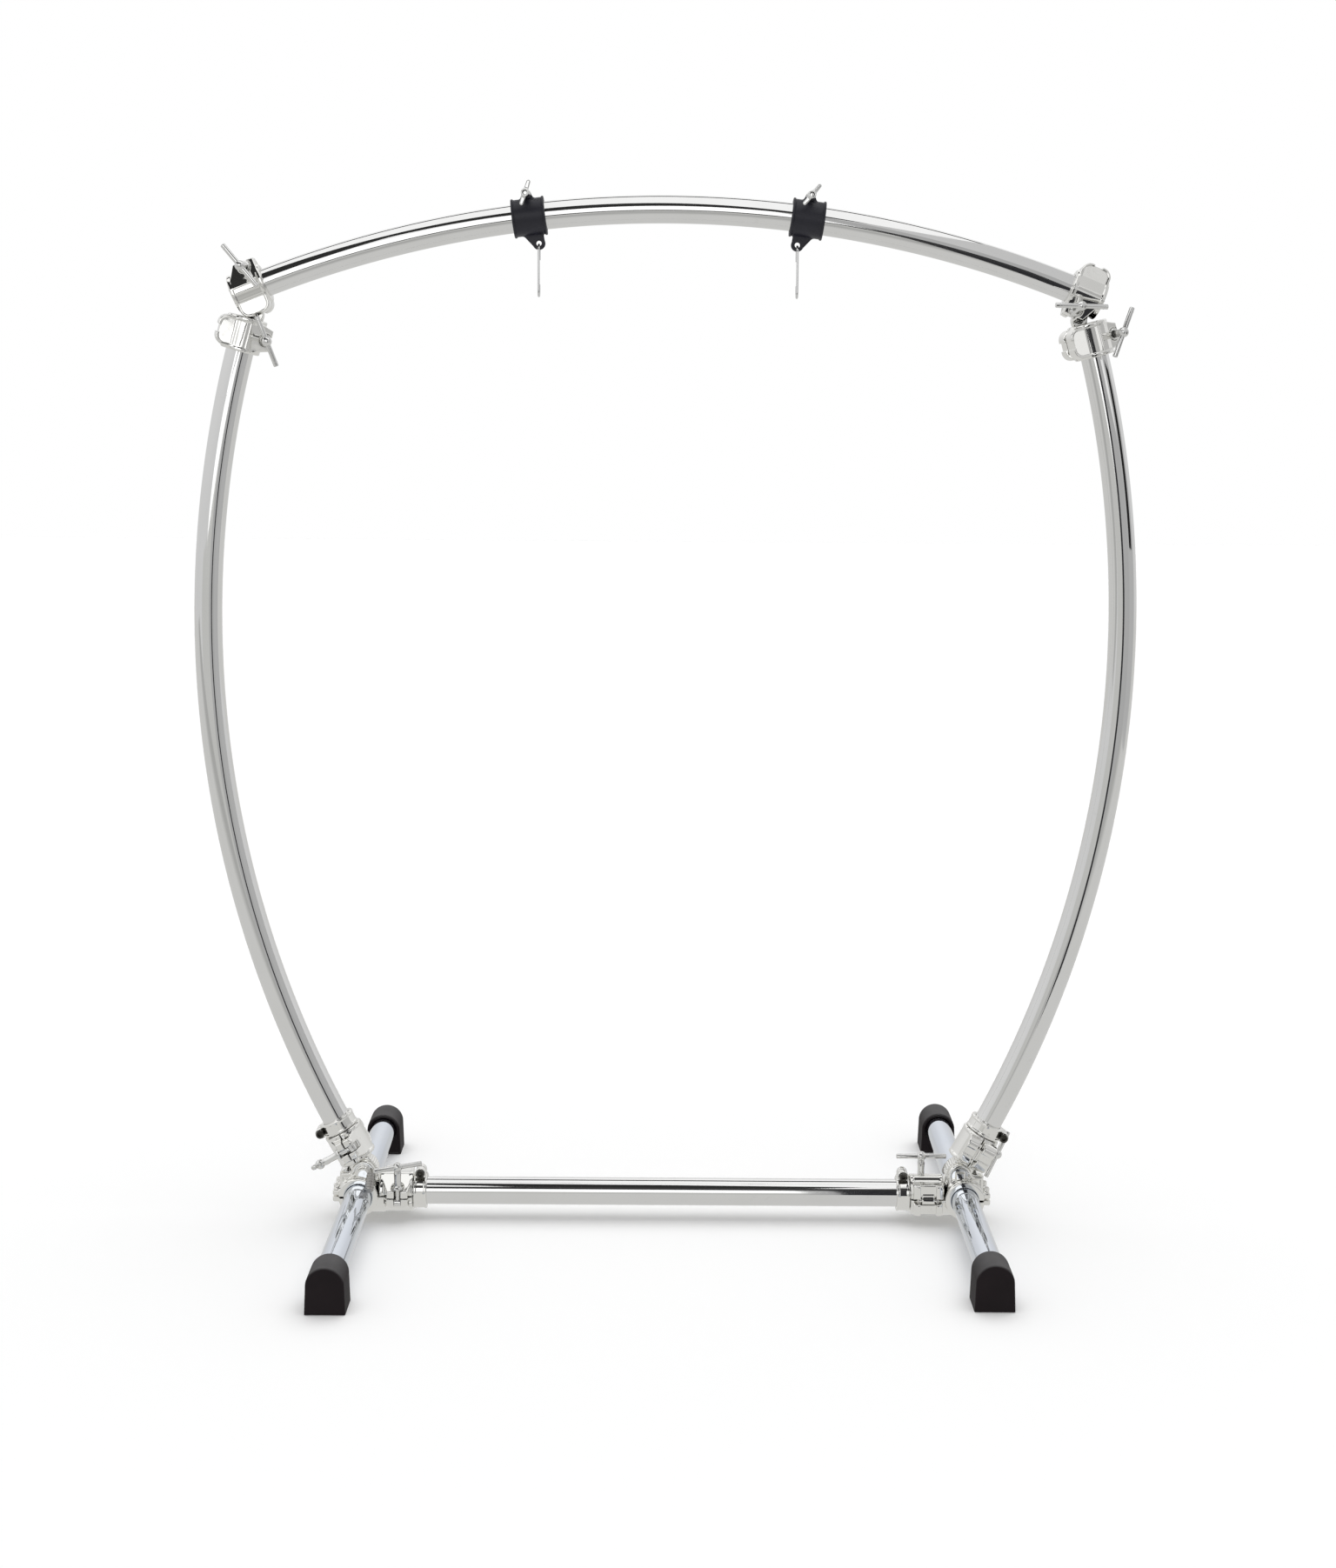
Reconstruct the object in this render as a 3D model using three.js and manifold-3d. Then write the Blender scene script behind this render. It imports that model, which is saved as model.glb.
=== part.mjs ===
// Knock-down gong stand: three bent tubes of one radius, a straight lower bar and two leg tubes,
// joined by hinged cast clamps with swing bolts, with two nylon hangers on the top bar.
// Millimetres, +X to the viewer's right, +Y away from the viewer, +Z up, origin on the floor at the middle.
import * as THREE from "three";
import { mergeVertices } from "three/addons/utils/BufferGeometryUtils.js";
import Module from "manifold-3d";

const wasm = await Module();
wasm.setup();

// Tubes
const tubeRadius = 19.05;
const tubeWall = 1.6;
const bendRadius = 1524;
const apexHeight = 1424;
const widestHalfWidth = 636;
const widestHeight = 846;
const legDrop = 67.5;
const legOffset = 20.5;
const legSlide = 21;
const legLength = 640;
const axisHeight = 38;

// Fits and cuts
const boreClearance = 1.2;
const partGap = 0.4;
const overrun = 5;

// Hinged tube clamps
const castWall = 6.75;
const clampLength = 47;
const clampChamfer = 4;
const splitGap = 1.5;
const boltOffset = 29;
const boltRadius = 3.9;
const boltShort = 5;
const earEnd = 37;
const bodyEarDepth = 12.5;
const capEarDepth = 10.5;
const earWidth = 23;
const earTipShare = 0.3;
const earRootShare = 0.86;
const pivotDepth = 7.5;
const pivotPinRadius = 2.9;
const eyeRadius = 5.8;
const eyeWidth = 9.4;
const hingeOffset = 28.5;
const hingeRadius = 4.5;
const hingeLength = 30;
const hingeEndLength = 5;
const hingePinRadius = 1.9;
const hingeBlockReach = 38;
const hingeBlockLength = 42;
const hingeBlockDepth = 17;
const hingeBlockRound = 12;
const hingeBlockBevel = 4;
const hingeNotchHalf = 7;

// Tee nuts on the swing bolts
const nutFlangeRadius = 8;
const nutFlangeThickness = 3;
const nutNeckRadius = 5.6;
const nutHeight = 44;
const nutBallRadius = 7;
const teeRodRadius = 3.5;
const teeRodLength = 72;

// Base castings
const barrelRadius = 28;
const barrelLength = 64;
const socketDepthExtra = 3;
const pinchSlit = 2.6;
const pinchEarReach = 37;
const pinchEarHeight = 9;
const pinchEarLength = 50;
const pinchBoltRadius = 4;
const pinchBoltHead = 4.5;
const barShift = 3.5;
const pivotBelow = 43;
const knuckleRadius = 19;
const knuckleHalf = 11;
const socketFloor = 4;
const socketFlange = 1.4;
const toothHeight = 1.2;
const toothCount = 20;
const toothShares = [0, 0.2, 0.5, 0.7];
const cheekRadius = 17;
const cheekHalf = 19;
const cheekTop = 32;
const cheekWall = 9;
const cheekFootShare = 0.86;
const cheekFootRiseShare = 0.43;
const basePivotRadius = 3.9;
const baseBossRadius = 8.5;
const baseBossLength = 7;
const baseHeadHalf = 6;
const baseHeadLength = 4;
const studRadius = 5.5;
const studLength = 28;
const studDrop = 16;

// Top corner joints
const cornerOutset = 11.3;
const upperShift = 6;
const lugThickness = 7;
const lugRadius = 10.5;
const lugStart = 6;
const pivotOutset = 8;
const pivotBoltRadius = 3.9;
const pivotHeadRadius = 7;
const pivotHeadThickness = 5;
const upperRightTilt = 10;
const lowerTurn = 14;

// Memory locks
const lockWidth = 18;
const lockWall = 4.6;
const lockBossWidth = 15;
const lockBossDepth = 22;
const lockBossReach = 35.5;
const lockSlit = 2;
const lockScrewRadius = 2.3;
const lockHeadRadius = 5.6;
const lockHeadLength = 5;
const lockSocketRadius = 2.9;
const lockSocketDepth = 3;

// Rubber feet
const footHalfWidth = 26.5;
const footTopRadius = 25;
const footDepth = 50;
const footEndWall = 7;
const footBevel = 2;

// Hangers
const hangerSpread = 190;
const hangerLength = 45;
const hangerClearance = 1;
const hangerWall = 4.6;
const hangerRimHeight = 2;
const hangerRimWidth = 4;
const hangerSlit = 4.4;
const hangerEarThickness = 5;
const hangerEarHalfWidth = 13;
const hangerScrewHeight = 30.5;
const hangerEarRadius = 6.5;
const hangerScrewRadius = 2.9;
const hangerLugThickness = 6;
const hangerLugRadius = 8.7;
const hangerLugHalfWidth = 12;
const eyeDrop = 36.8;
const eyeInset = 9;
const eyeHoleRadius = 4.3;
const wingHubRadius = 5.2;
const wingReach = 23.5;
const wingSpan = 36;
const wingRootRadius = 3.3;
const wingTipRadius = 2.6;

// S hooks
const wireRadius = 1.6;
const hookTopBend = 9.5;
const hookLowBend = 7;
const hookDrop = 71.2;
const hookShortLeg = 11;
const hookLowLeg = 9;
const hookSeat = 1.5;

// How far the turning nuts are wound on, in degrees, left and right
const barNutTurns = [27, 1];
const uprightNutTurns = [104, -14];
const cornerBarNutTurns = [-72, 21];
const cornerUprightNutTurns = [36, -36];
const wingNutTurns = [-65, -57];

// Where rounded outlines start and end, in degrees
const cheekArc = [120, -20];
const hangerEarArc = [20, 160];
const hangerLugArc = [215, 360];
const nutBallArc = [-43, 0, 49];

// Facets
const tubeSides = 12;
const tubeSteps = 20;
const innerSides = 6;
const innerSteps = 12;
const mergeTolerance = 1e-4;
const boreSides = 12;
const nutSides = 8;
const smallSides = 8;
const pinSides = 6;
const cornerSteps = 2;
const arcSteps = 5;
const headSides = 10;
const hexSides = 6;
const wireSides = 6;
const hookSteps = 6;

const X = new THREE.Vector3(1, 0, 0);
const Y = new THREE.Vector3(0, 1, 0);
const Z = new THREE.Vector3(0, 0, 1);
const front = new THREE.Vector3(0, -1, 0);
const rad = THREE.MathUtils.degToRad;

// Worked out from the driving sizes
const boreRadius = tubeRadius + boreClearance;
const shellRadius = boreRadius + castWall;
const halfClamp = clampLength / 2;
const bendCentreX = bendRadius - widestHalfWidth;
const topCentreHeight = apexHeight - bendRadius;

// Colours from the photograph
const chromeTube = new THREE.MeshStandardMaterial({ color: 0xc4c6c8, roughness: 0.1, metalness: 1 });
const chromeCast = new THREE.MeshStandardMaterial({ color: 0xbfc1bf, roughness: 0.22, metalness: 1 });
const chromeBolt = new THREE.MeshStandardMaterial({ color: 0xb5b6b6, roughness: 0.18, metalness: 1 });
const blackRubber = new THREE.MeshStandardMaterial({ color: 0x2a282a, roughness: 0.7, metalness: 0 });
const blackNylon = new THREE.MeshStandardMaterial({ color: 0x1f1d22, roughness: 0.5, metalness: 0 });
const darkScrew = new THREE.MeshStandardMaterial({ color: 0x35342f, roughness: 0.4, metalness: 1 });
const steelWire = new THREE.MeshStandardMaterial({ color: 0xc9cac9, roughness: 0.2, metalness: 1 });

// Solids from closed three.js geometries
function solid(geometry) {
  const bare = geometry.index ? geometry.toNonIndexed() : geometry.clone();
  bare.deleteAttribute("normal");
  bare.deleteAttribute("uv");
  const merged = mergeVertices(bare, mergeTolerance);
  const points = merged.attributes.position.array;
  const faces = [];
  let volume = 0;
  const a = new THREE.Vector3();
  const b = new THREE.Vector3();
  const c = new THREE.Vector3();
  for (let i = 0; i < merged.index.count; i += 3) {
    const [p, q, r] = [0, 1, 2].map((k) => merged.index.getX(i + k));
    if (p === q || q === r || r === p) continue;
    faces.push(p, q, r);
    a.fromArray(points, 3 * p);
    b.fromArray(points, 3 * q);
    c.fromArray(points, 3 * r);
    volume += a.dot(b.cross(c));
  }
  if (volume < 0) faces.reverse();
  const mesh = new wasm.Mesh({
    numProp: 3,
    vertProperties: Float32Array.from(points),
    triVerts: Uint32Array.from(faces),
  });
  return new wasm.Manifold(mesh);
}

function toGeometry(manifold) {
  const mesh = manifold.getMesh();
  const geometry = new THREE.BufferGeometry();
  geometry.setAttribute("position", new THREE.BufferAttribute(mesh.vertProperties.slice(), 3));
  geometry.setIndex(new THREE.BufferAttribute(mesh.triVerts.slice(), 1));
  return geometry;
}

function moved(manifold, matrix) {
  return solid(toGeometry(manifold).applyMatrix4(matrix));
}

const shift = (x, y, z) => new THREE.Matrix4().makeTranslation(x, y, z);
const turn = (axis, angle) => new THREE.Matrix4().makeRotationAxis(axis, angle);

// A right-handed frame from the world directions of its local X and Y axes
function frame(origin, across, out) {
  const along = new THREE.Vector3().crossVectors(across, out);
  return new THREE.Matrix4().makeBasis(across, out, along).setPosition(origin);
}

function box(x0, x1, y0, y1, z0, z1) {
  const geometry = new THREE.BoxGeometry(x1 - x0, y1 - y0, z1 - z0);
  return solid(geometry.translate((x0 + x1) / 2, (y0 + y1) / 2, (z0 + z1) / 2));
}

// A round bar along an axis, from one place on it to another
function rod(radius, from, to, axis = Z, sides = smallSides) {
  const geometry = new THREE.CylinderGeometry(radius, radius, to - from, sides);
  geometry.translate(0, (from + to) / 2, 0);
  geometry.applyQuaternion(new THREE.Quaternion().setFromUnitVectors(Y, axis));
  return solid(geometry);
}

// A solid of revolution about local Z from a profile of [radius, height] pairs
function turned(profile, sides) {
  const points = profile.map(([r, h]) => new THREE.Vector2(r, h));
  return solid(new THREE.LatheGeometry(points, sides).rotateX(Math.PI / 2));
}

function chamferedBarrel(radius, half, chamfer, sides) {
  return turned(
    [
      [0, -half],
      [radius - chamfer, -half],
      [radius, -half + chamfer],
      [radius, half - chamfer],
      [radius - chamfer, half],
      [0, half],
    ],
    sides,
  );
}

// An outline in local XY, extruded along Z about a middle height
function plate(shape, thickness, middle = 0, segments = 1) {
  const options = { depth: thickness, bevelEnabled: false, curveSegments: segments };
  const geometry = new THREE.ExtrudeGeometry(shape, options);
  return solid(geometry.translate(0, 0, middle - thickness / 2));
}

function outline(points) {
  return new THREE.Shape(points.map(([x, y]) => new THREE.Vector2(x, y)));
}

function named(name, manifold, material) {
  const mesh = new THREE.Mesh(toGeometry(manifold), material);
  mesh.name = name;
  return mesh;
}

function groupAt(matrix, ...children) {
  const group = new THREE.Group();
  matrix.decompose(group.position, group.quaternion, group.scale);
  if (children.length) group.add(...children);
  return group;
}

// Tubes
function straightTube(length, axis) {
  const outside = rod(tubeRadius, -length / 2, length / 2, axis, tubeSides);
  return outside.subtract(rod(tubeRadius - tubeWall, -length, length, axis, innerSides));
}

// An arc in the XZ plane about the origin; angles run from +X towards +Z
class StandArc extends THREE.Curve {
  constructor(start, end) {
    super();
    this.start = start;
    this.end = end;
  }

  getPoint(t, target = new THREE.Vector3()) {
    const angle = this.start + (this.end - this.start) * t;
    return target.set(bendRadius * Math.cos(angle), 0, bendRadius * Math.sin(angle));
  }
}

function bentRod(radius, start, end, sides, steps) {
  const section = new THREE.Shape();
  section.absarc(0, 0, radius, 0, 2 * Math.PI);
  const extrudePath = new StandArc(start, end);
  const options = { extrudePath, steps, bevelEnabled: false, curveSegments: sides / 2 };
  return solid(new THREE.ExtrudeGeometry(section, options));
}

function bentTube(start, end) {
  const beyond = Math.sign(end - start) * (overrun / bendRadius);
  const inside = bentRod(tubeRadius - tubeWall, start - beyond, end + beyond, innerSides, innerSteps);
  return bentRod(tubeRadius, start, end, tubeSides, tubeSteps).subtract(inside);
}

// One hinged clamp in its own frame: X towards the swing bolt, Y towards the tee nut, Z along the tube
function clampHalf(side, earDepth, featureShift, radius, half) {
  const shell = chamferedBarrel(radius, half, clampChamfer, boreSides);
  const gap = splitGap / 2;
  const keep = side > 0 ? [gap, radius + overrun] : [-radius - overrun, -gap];
  const wide = radius + overrun;
  const halfShell = shell.intersect(box(-wide, wide, keep[0], keep[1], -half - overrun, half + overrun));
  const tip = earDepth * earTipShare;
  const ear = outline([
    [boltOffset - boreRadius / 2, side * gap],
    [earEnd, side * gap],
    [earEnd, side * (gap + earDepth - tip)],
    [earEnd - tip, side * (gap + earDepth)],
    [boltOffset - nutFlangeRadius, side * (gap + earDepth)],
    [shellRadius / 2, side * shellRadius * earRootShare],
    [boreRadius / 2, side * boreRadius],
  ]);
  return halfShell.add(plate(ear, earWidth, featureShift)).add(hingeBlock(side));
}

// The flat-faced block that the hinge runs in, with round corners and a notch in its edge
function hingeBlock(side) {
  const gap = splitGap / 2;
  const edge = -hingeBlockReach;
  const section = outline([
    [-boreRadius, side * gap],
    [-hingeOffset, side * gap],
    [edge, side * (gap + hingeBlockBevel)],
    [edge, side * (hingeBlockDepth - hingeBlockBevel)],
    [edge + hingeBlockBevel, side * hingeBlockDepth],
    [-boreRadius / 2, side * hingeBlockDepth],
  ]);
  const half = hingeBlockLength / 2;
  const round = hingeBlockRound;
  const face = new THREE.Shape();
  face.moveTo(0, -half);
  face.absarc(edge + round, round - half, round, -Math.PI / 2, -Math.PI, true);
  face.absarc(edge + round, half - round, round, Math.PI, Math.PI / 2, true);
  face.lineTo(0, half);
  const rounded = moved(plate(face, 2 * shellRadius, 0, cornerSteps), turn(X, Math.PI / 2));
  const notchDepth = 2 * hingeRadius;
  const notchEnd = -hingeOffset - hingeRadius;
  const notch = box(edge - overrun, notchEnd, -notchDepth, notchDepth, -hingeNotchHalf, hingeNotchHalf);
  return plate(section, hingeBlockLength).intersect(rounded).subtract(notch);
}

function hingeWeb(side, from, to) {
  const gap = splitGap / 2;
  const deep = hingeRadius;
  const low = side > 0 ? gap : -deep;
  const high = side > 0 ? deep : -gap;
  const knuckle = moved(rod(hingeRadius, from, to), shift(-hingeOffset, 0, 0));
  return knuckle.add(box(-hingeOffset, -boreRadius, low, high, from, to));
}

const hingeMiddle = hingeLength / 2 - hingeEndLength;

function clampBody(featureShift = 0, radius = shellRadius, half = halfClamp) {
  const middle = moved(
    rod(hingeRadius + partGap, featureShift - hingeMiddle, featureShift + hingeMiddle),
    shift(-hingeOffset, 0, 0),
  );
  const end = hingeLength / 2;
  const inner = hingeMiddle + partGap / 2;
  let body = clampHalf(-1, bodyEarDepth, featureShift, radius, half)
    .add(hingeWeb(-1, featureShift + inner, featureShift + end))
    .add(hingeWeb(-1, featureShift - end, featureShift - inner))
    .subtract(middle)
    .subtract(rod(boreRadius, -half - overrun, half + overrun, Z, boreSides));
  const slot = eyeWidth / 2 + partGap;
  const slotFloor = boltOffset - eyeRadius - partGap;
  const below = -splitGap / 2 - bodyEarDepth - overrun;
  body = body.subtract(box(slotFloor, earEnd + overrun, below, 0, featureShift - slot, featureShift + slot));
  const pinHole = rod(pivotPinRadius + partGap, featureShift - earWidth, featureShift + earWidth, Z, pinSides);
  body = body.subtract(moved(pinHole, shift(boltOffset, -pivotDepth, 0)));
  const pin = rod(hingePinRadius, featureShift - end, featureShift + end, Z, pinSides);
  return body.add(moved(pin, shift(-hingeOffset, 0, 0)));
}

function clampCap(featureShift = 0) {
  const end = hingeLength / 2 + partGap;
  const inner = hingeMiddle - partGap / 2;
  const clearance = (from, to) => moved(rod(hingeRadius + partGap, from, to), shift(-hingeOffset, 0, 0));
  const slot = boltRadius + 2 * partGap;
  const slotFloor = boltOffset - boltRadius - partGap;
  const above = splitGap / 2 + capEarDepth + overrun;
  const spotFace = rod(nutFlangeRadius + 2 * partGap, splitGap / 2 + capEarDepth, shellRadius, Y);
  const pinHole = rod(hingePinRadius + partGap, -clampLength, clampLength, Z, pinSides);
  return clampHalf(1, capEarDepth, featureShift, shellRadius, halfClamp)
    .subtract(clearance(featureShift + hingeMiddle, featureShift + end))
    .subtract(clearance(featureShift - end, featureShift - hingeMiddle))
    .add(hingeWeb(1, featureShift - inner, featureShift + inner))
    .subtract(rod(boreRadius, -clampLength, clampLength, Z, boreSides))
    .subtract(moved(spotFace, shift(boltOffset, 0, featureShift)))
    .subtract(box(slotFloor, earEnd + overrun, 0, above, featureShift - slot, featureShift + slot))
    .subtract(moved(pinHole, shift(-hingeOffset, 0, 0)));
}

// The swing bolt's origin is its pivot; the shank runs along local Y
function swingBolt() {
  const eye = rod(eyeRadius, -eyeWidth / 2, eyeWidth / 2);
  const pin = rod(pivotPinRadius, -earWidth / 2, earWidth / 2, Z, pinSides);
  const shank = rod(boltRadius, 0, nutHeight + pivotDepth - nutBallRadius - partGap - boltShort, Y);
  return eye.add(pin).add(shank);
}

// The tee nut turns about local Y; its origin is on the cap's ear
function teeNut() {
  const reach = nutHeight - splitGap / 2 - capEarDepth - partGap;
  const ballArc = nutBallArc.map((angle) => [
    nutBallRadius * Math.cos(rad(angle)),
    reach + nutBallRadius * Math.sin(rad(angle)),
  ]);
  const profile = [
    [0, 0],
    [nutFlangeRadius, 0],
    [nutFlangeRadius, nutFlangeThickness],
    [nutNeckRadius, nutFlangeThickness + (nutFlangeRadius - nutNeckRadius) / 2],
    ...ballArc,
    [0, reach + nutBallRadius],
  ];
  const hub = moved(turned(profile, nutSides), turn(X, -Math.PI / 2));
  const handle = moved(rod(teeRodRadius, -teeRodLength / 2, teeRodLength / 2), shift(0, reach, 0));
  const bore = rod(boltRadius + partGap, -overrun, reach - nutBallRadius + partGap, Y);
  return hub.add(handle).subtract(bore);
}

const nutSeat = splitGap / 2 + capEarDepth + partGap;

// The four pieces of one clamp, in a group placed on its tube
function clampSet(prefix, matrix, body, spin, featureShift = 0) {
  const bolt = named(`${prefix}_swing_bolt`, swingBolt(), chromeBolt);
  bolt.position.set(boltOffset, -pivotDepth, featureShift);
  const nut = named(`${prefix}_tee_nut`, teeNut(), chromeBolt);
  nut.position.set(boltOffset, nutSeat, featureShift);
  nut.rotation.y = spin;
  const cap = named(`${prefix}_cap`, clampCap(featureShift), chromeCast);
  return groupAt(matrix, body, cap, bolt, nut);
}

// Base casting, in the frame of the leg's middle: X towards the stand's middle, Z up
const barClampReach = barrelRadius + halfClamp + 2 * partGap;
const barFrame = frame(new THREE.Vector3(barClampReach, 0, 0), front, Z);

// The upright's lowest clamp and the ratchet pivot below it, both on the upright's axis
const legReach = Math.hypot(bendRadius + legOffset, legDrop);
const legLine = bendRadius + legOffset;
const baseClampAngle = Math.asin((axisHeight - widestHeight) / legReach) + Math.atan2(legDrop, legLine);
const legX = legLine * Math.cos(baseClampAngle) + legDrop * Math.sin(baseClampAngle) - bendCentreX;
const baseTangent = new THREE.Vector3(Math.sin(baseClampAngle), 0, Math.cos(baseClampAngle));
const baseOutward = new THREE.Vector3(-Math.cos(baseClampAngle), 0, Math.sin(baseClampAngle));
const baseClampPoint = baseTangent.clone().multiplyScalar(legDrop).addScaledVector(baseOutward, -legOffset);
const basePivot = baseClampPoint.clone().addScaledVector(baseTangent, -pivotBelow);
const baseUprightFrame = frame(baseClampPoint, front, baseOutward);

// Two cheeks that rise from the leg's barrel on both sides of the upright's knuckle
function cheeks() {
  const shape = new THREE.Shape();
  shape.moveTo(-barrelRadius, 0);
  shape.lineTo(-barrelRadius, cheekTop);
  shape.absarc(basePivot.x, basePivot.z, cheekRadius, rad(cheekArc[0]), rad(cheekArc[1]), true);
  shape.lineTo(barrelRadius * cheekFootShare, barrelRadius * cheekFootRiseShare);
  shape.lineTo(0, 0);
  const block = moved(plate(shape, 2 * cheekHalf, 0, arcSteps), turn(X, Math.PI / 2));
  const half = knuckleHalf + partGap;
  const wide = 2 * barrelRadius;
  const bolt = rod(basePivotRadius, -cheekHalf, cheekHalf, Y);
  const boss = rod(baseBossRadius, -cheekHalf - baseBossLength, -cheekHalf, Y, boreSides);
  const head = box(-baseHeadHalf, baseHeadHalf, cheekHalf, cheekHalf + baseHeadLength, -baseHeadHalf, baseHeadHalf);
  const atPivot = shift(basePivot.x, 0, basePivot.z);
  return block
    .subtract(box(cheekWall - barrelRadius, wide, -half, half, 0, wide))
    .add(moved(bolt.add(boss).add(head), atPivot));
}

// The set screw that presses on the leg tube in front of the casting
function baseStud() {
  const start = new THREE.Vector3(basePivot.x + baseBossRadius, -cheekHalf - baseBossLength / 2, basePivot.z);
  const way = new THREE.Vector3(0, -Math.sqrt(studLength ** 2 - studDrop ** 2), -studDrop).normalize();
  return moved(rod(studRadius, 0, studLength, way), shift(start.x, start.y, start.z));
}

function legClamp() {
  const barrel = moved(chamferedBarrel(barrelRadius, barrelLength / 2, tubeWall, boreSides), turn(X, Math.PI / 2));
  const ears = box(-pinchEarReach, 0, -pinchEarLength / 2, pinchEarLength / 2, -pinchEarHeight, pinchEarHeight);
  const barRadius = shellRadius + socketDepthExtra;
  const wide = 2 * barRadius;
  const lower = box(-wide, wide, -wide, -splitGap / 2, halfClamp - clampChamfer, barClampReach);
  const bridge = rod(barRadius, halfClamp - clampChamfer, barClampReach, Z, boreSides).intersect(lower);
  const barRoom = rod(boreRadius, -halfClamp, halfClamp + 2 * partGap, Z, boreSides);
  const slit = box(-pinchEarReach - overrun, -tubeRadius, -barrelLength, barrelLength, -pinchSlit / 2, pinchSlit / 2);
  const toLeg = (piece) => moved(piece, barFrame);
  let casting = barrel
    .add(cheeks())
    .add(baseStud())
    .add(ears)
    .add(toLeg(bridge))
    .subtract(toLeg(barRoom))
    .add(toLeg(clampBody(-barShift, barRadius)))
    .subtract(rod(boreRadius, -barrelLength, barrelLength, Y, boreSides))
    .subtract(slit);
  for (const y of [-pinchEarLength / 4, pinchEarLength / 4]) {
    const place = shift(-(pinchEarReach + barrelRadius) / 2, y, 0);
    casting = casting.add(moved(rod(pinchBoltRadius, -pinchEarHeight, pinchEarHeight + pinchBoltHead), place));
  }
  return moved(casting, inverse(barFrame));
}

// A toothed disc in the YZ plane about the origin
function toothedDisc() {
  const points = [];
  for (let i = 0; i < toothCount; i += 1) {
    const root = knuckleRadius - toothHeight / 2;
    const tip = knuckleRadius + toothHeight / 2;
    [root, tip, tip, root].forEach((radius, k) => {
      const angle = ((i + toothShares[k]) / toothCount) * 2 * Math.PI;
      points.push([radius * Math.cos(angle), radius * Math.sin(angle)]);
    });
  }
  return moved(plate(outline(points), 2 * knuckleHalf), frame(new THREE.Vector3(), Y, Z));
}

// Clamp for the upright's foot, with a closed floor and a toothed knuckle on its axis below it
function uprightSocket() {
  const floor = halfClamp - socketFloor;
  const flange = rod(shellRadius - clampChamfer, floor, halfClamp + socketFlange, Z, boreSides);
  const tang = box(-knuckleHalf, knuckleHalf, -knuckleRadius, knuckleRadius, floor, pivotBelow);
  const capRoom = box(-shellRadius, shellRadius, -splitGap / 2, shellRadius, 0, halfClamp + partGap);
  const hole = rod(basePivotRadius + partGap, -shellRadius, shellRadius, X);
  const atPivot = shift(0, 0, pivotBelow);
  const barrelRoom = rod(barrelRadius + partGap, -barrelLength, barrelLength, Y, boreSides);
  return flange
    .subtract(capRoom)
    .add(tang.subtract(capRoom))
    .add(moved(toothedDisc(), atPivot))
    .add(clampBody(0))
    .subtract(moved(hole, atPivot))
    .subtract(moved(barrelRoom, inverse(baseUprightFrame)));
}

// Memory lock in its own frame: Z along the tube, boss along +Y, screw head towards -X
function memoryLock() {
  const ring = rod(boreRadius + lockWall, -lockWidth / 2, lockWidth / 2, Z, boreSides);
  const round = lockBossWidth / 2;
  const boss = new THREE.Shape();
  boss.moveTo(-round, 0);
  boss.lineTo(round, 0);
  boss.absarc(0, lockBossReach - round, round, 0, Math.PI, false);
  const block = moved(plate(boss, lockBossDepth, 0, arcSteps), frame(new THREE.Vector3(), Z, Y));
  const hole = rod(lockScrewRadius + partGap, -lockBossDepth, lockBossDepth, X);
  const slit = box(-lockSlit / 2, lockSlit / 2, tubeRadius / 2, lockBossReach + overrun, -lockWidth, lockWidth);
  return ring
    .add(block)
    .subtract(rod(boreRadius, -lockWidth, lockWidth, Z, boreSides))
    .subtract(slit)
    .subtract(moved(hole, shift(0, lockBossReach - round, 0)));
}

function lockScrew() {
  const face = -lockBossDepth / 2 - partGap;
  const head = rod(lockHeadRadius, face - lockHeadLength, face, X, headSides);
  const shank = rod(lockScrewRadius, face - partGap, lockBossDepth / 2, X, pinSides);
  const top = face - lockHeadLength;
  const socket = rod(lockSocketRadius, top - overrun, top + lockSocketDepth, X, hexSides);
  return head.add(shank).subtract(socket);
}

function lockSet(prefix, matrix) {
  const ring = named(`${prefix}_lock`, memoryLock(), chromeCast);
  const screw = named(`${prefix}_lock_screw`, lockScrew(), darkScrew);
  screw.position.set(0, lockBossReach - lockBossWidth / 2, 0);
  return groupAt(matrix, ring, screw);
}

// Rubber foot: a blunt arch with a blind socket, Y away from the floor and Z along the leg's outer end
function rubberFoot() {
  const arch = new THREE.Shape();
  const inset = footBevel;
  arch.moveTo(-footHalfWidth + inset, inset);
  arch.lineTo(footHalfWidth - inset, inset);
  arch.lineTo(footTopRadius - inset, axisHeight);
  arch.absarc(0, axisHeight, footTopRadius - inset, 0, Math.PI, false);
  const geometry = new THREE.ExtrudeGeometry(arch, {
    depth: footDepth - 2 * footBevel,
    bevelThickness: footBevel,
    bevelSize: footBevel,
    bevelSegments: 1,
    curveSegments: arcSteps,
  });
  const block = solid(geometry.translate(0, 0, footBevel));
  const depth = footDepth - footEndWall;
  const socket = moved(rod(tubeRadius + boreClearance, -overrun, depth, Z, boreSides), shift(0, axisHeight, 0));
  return block.subtract(socket);
}

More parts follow.
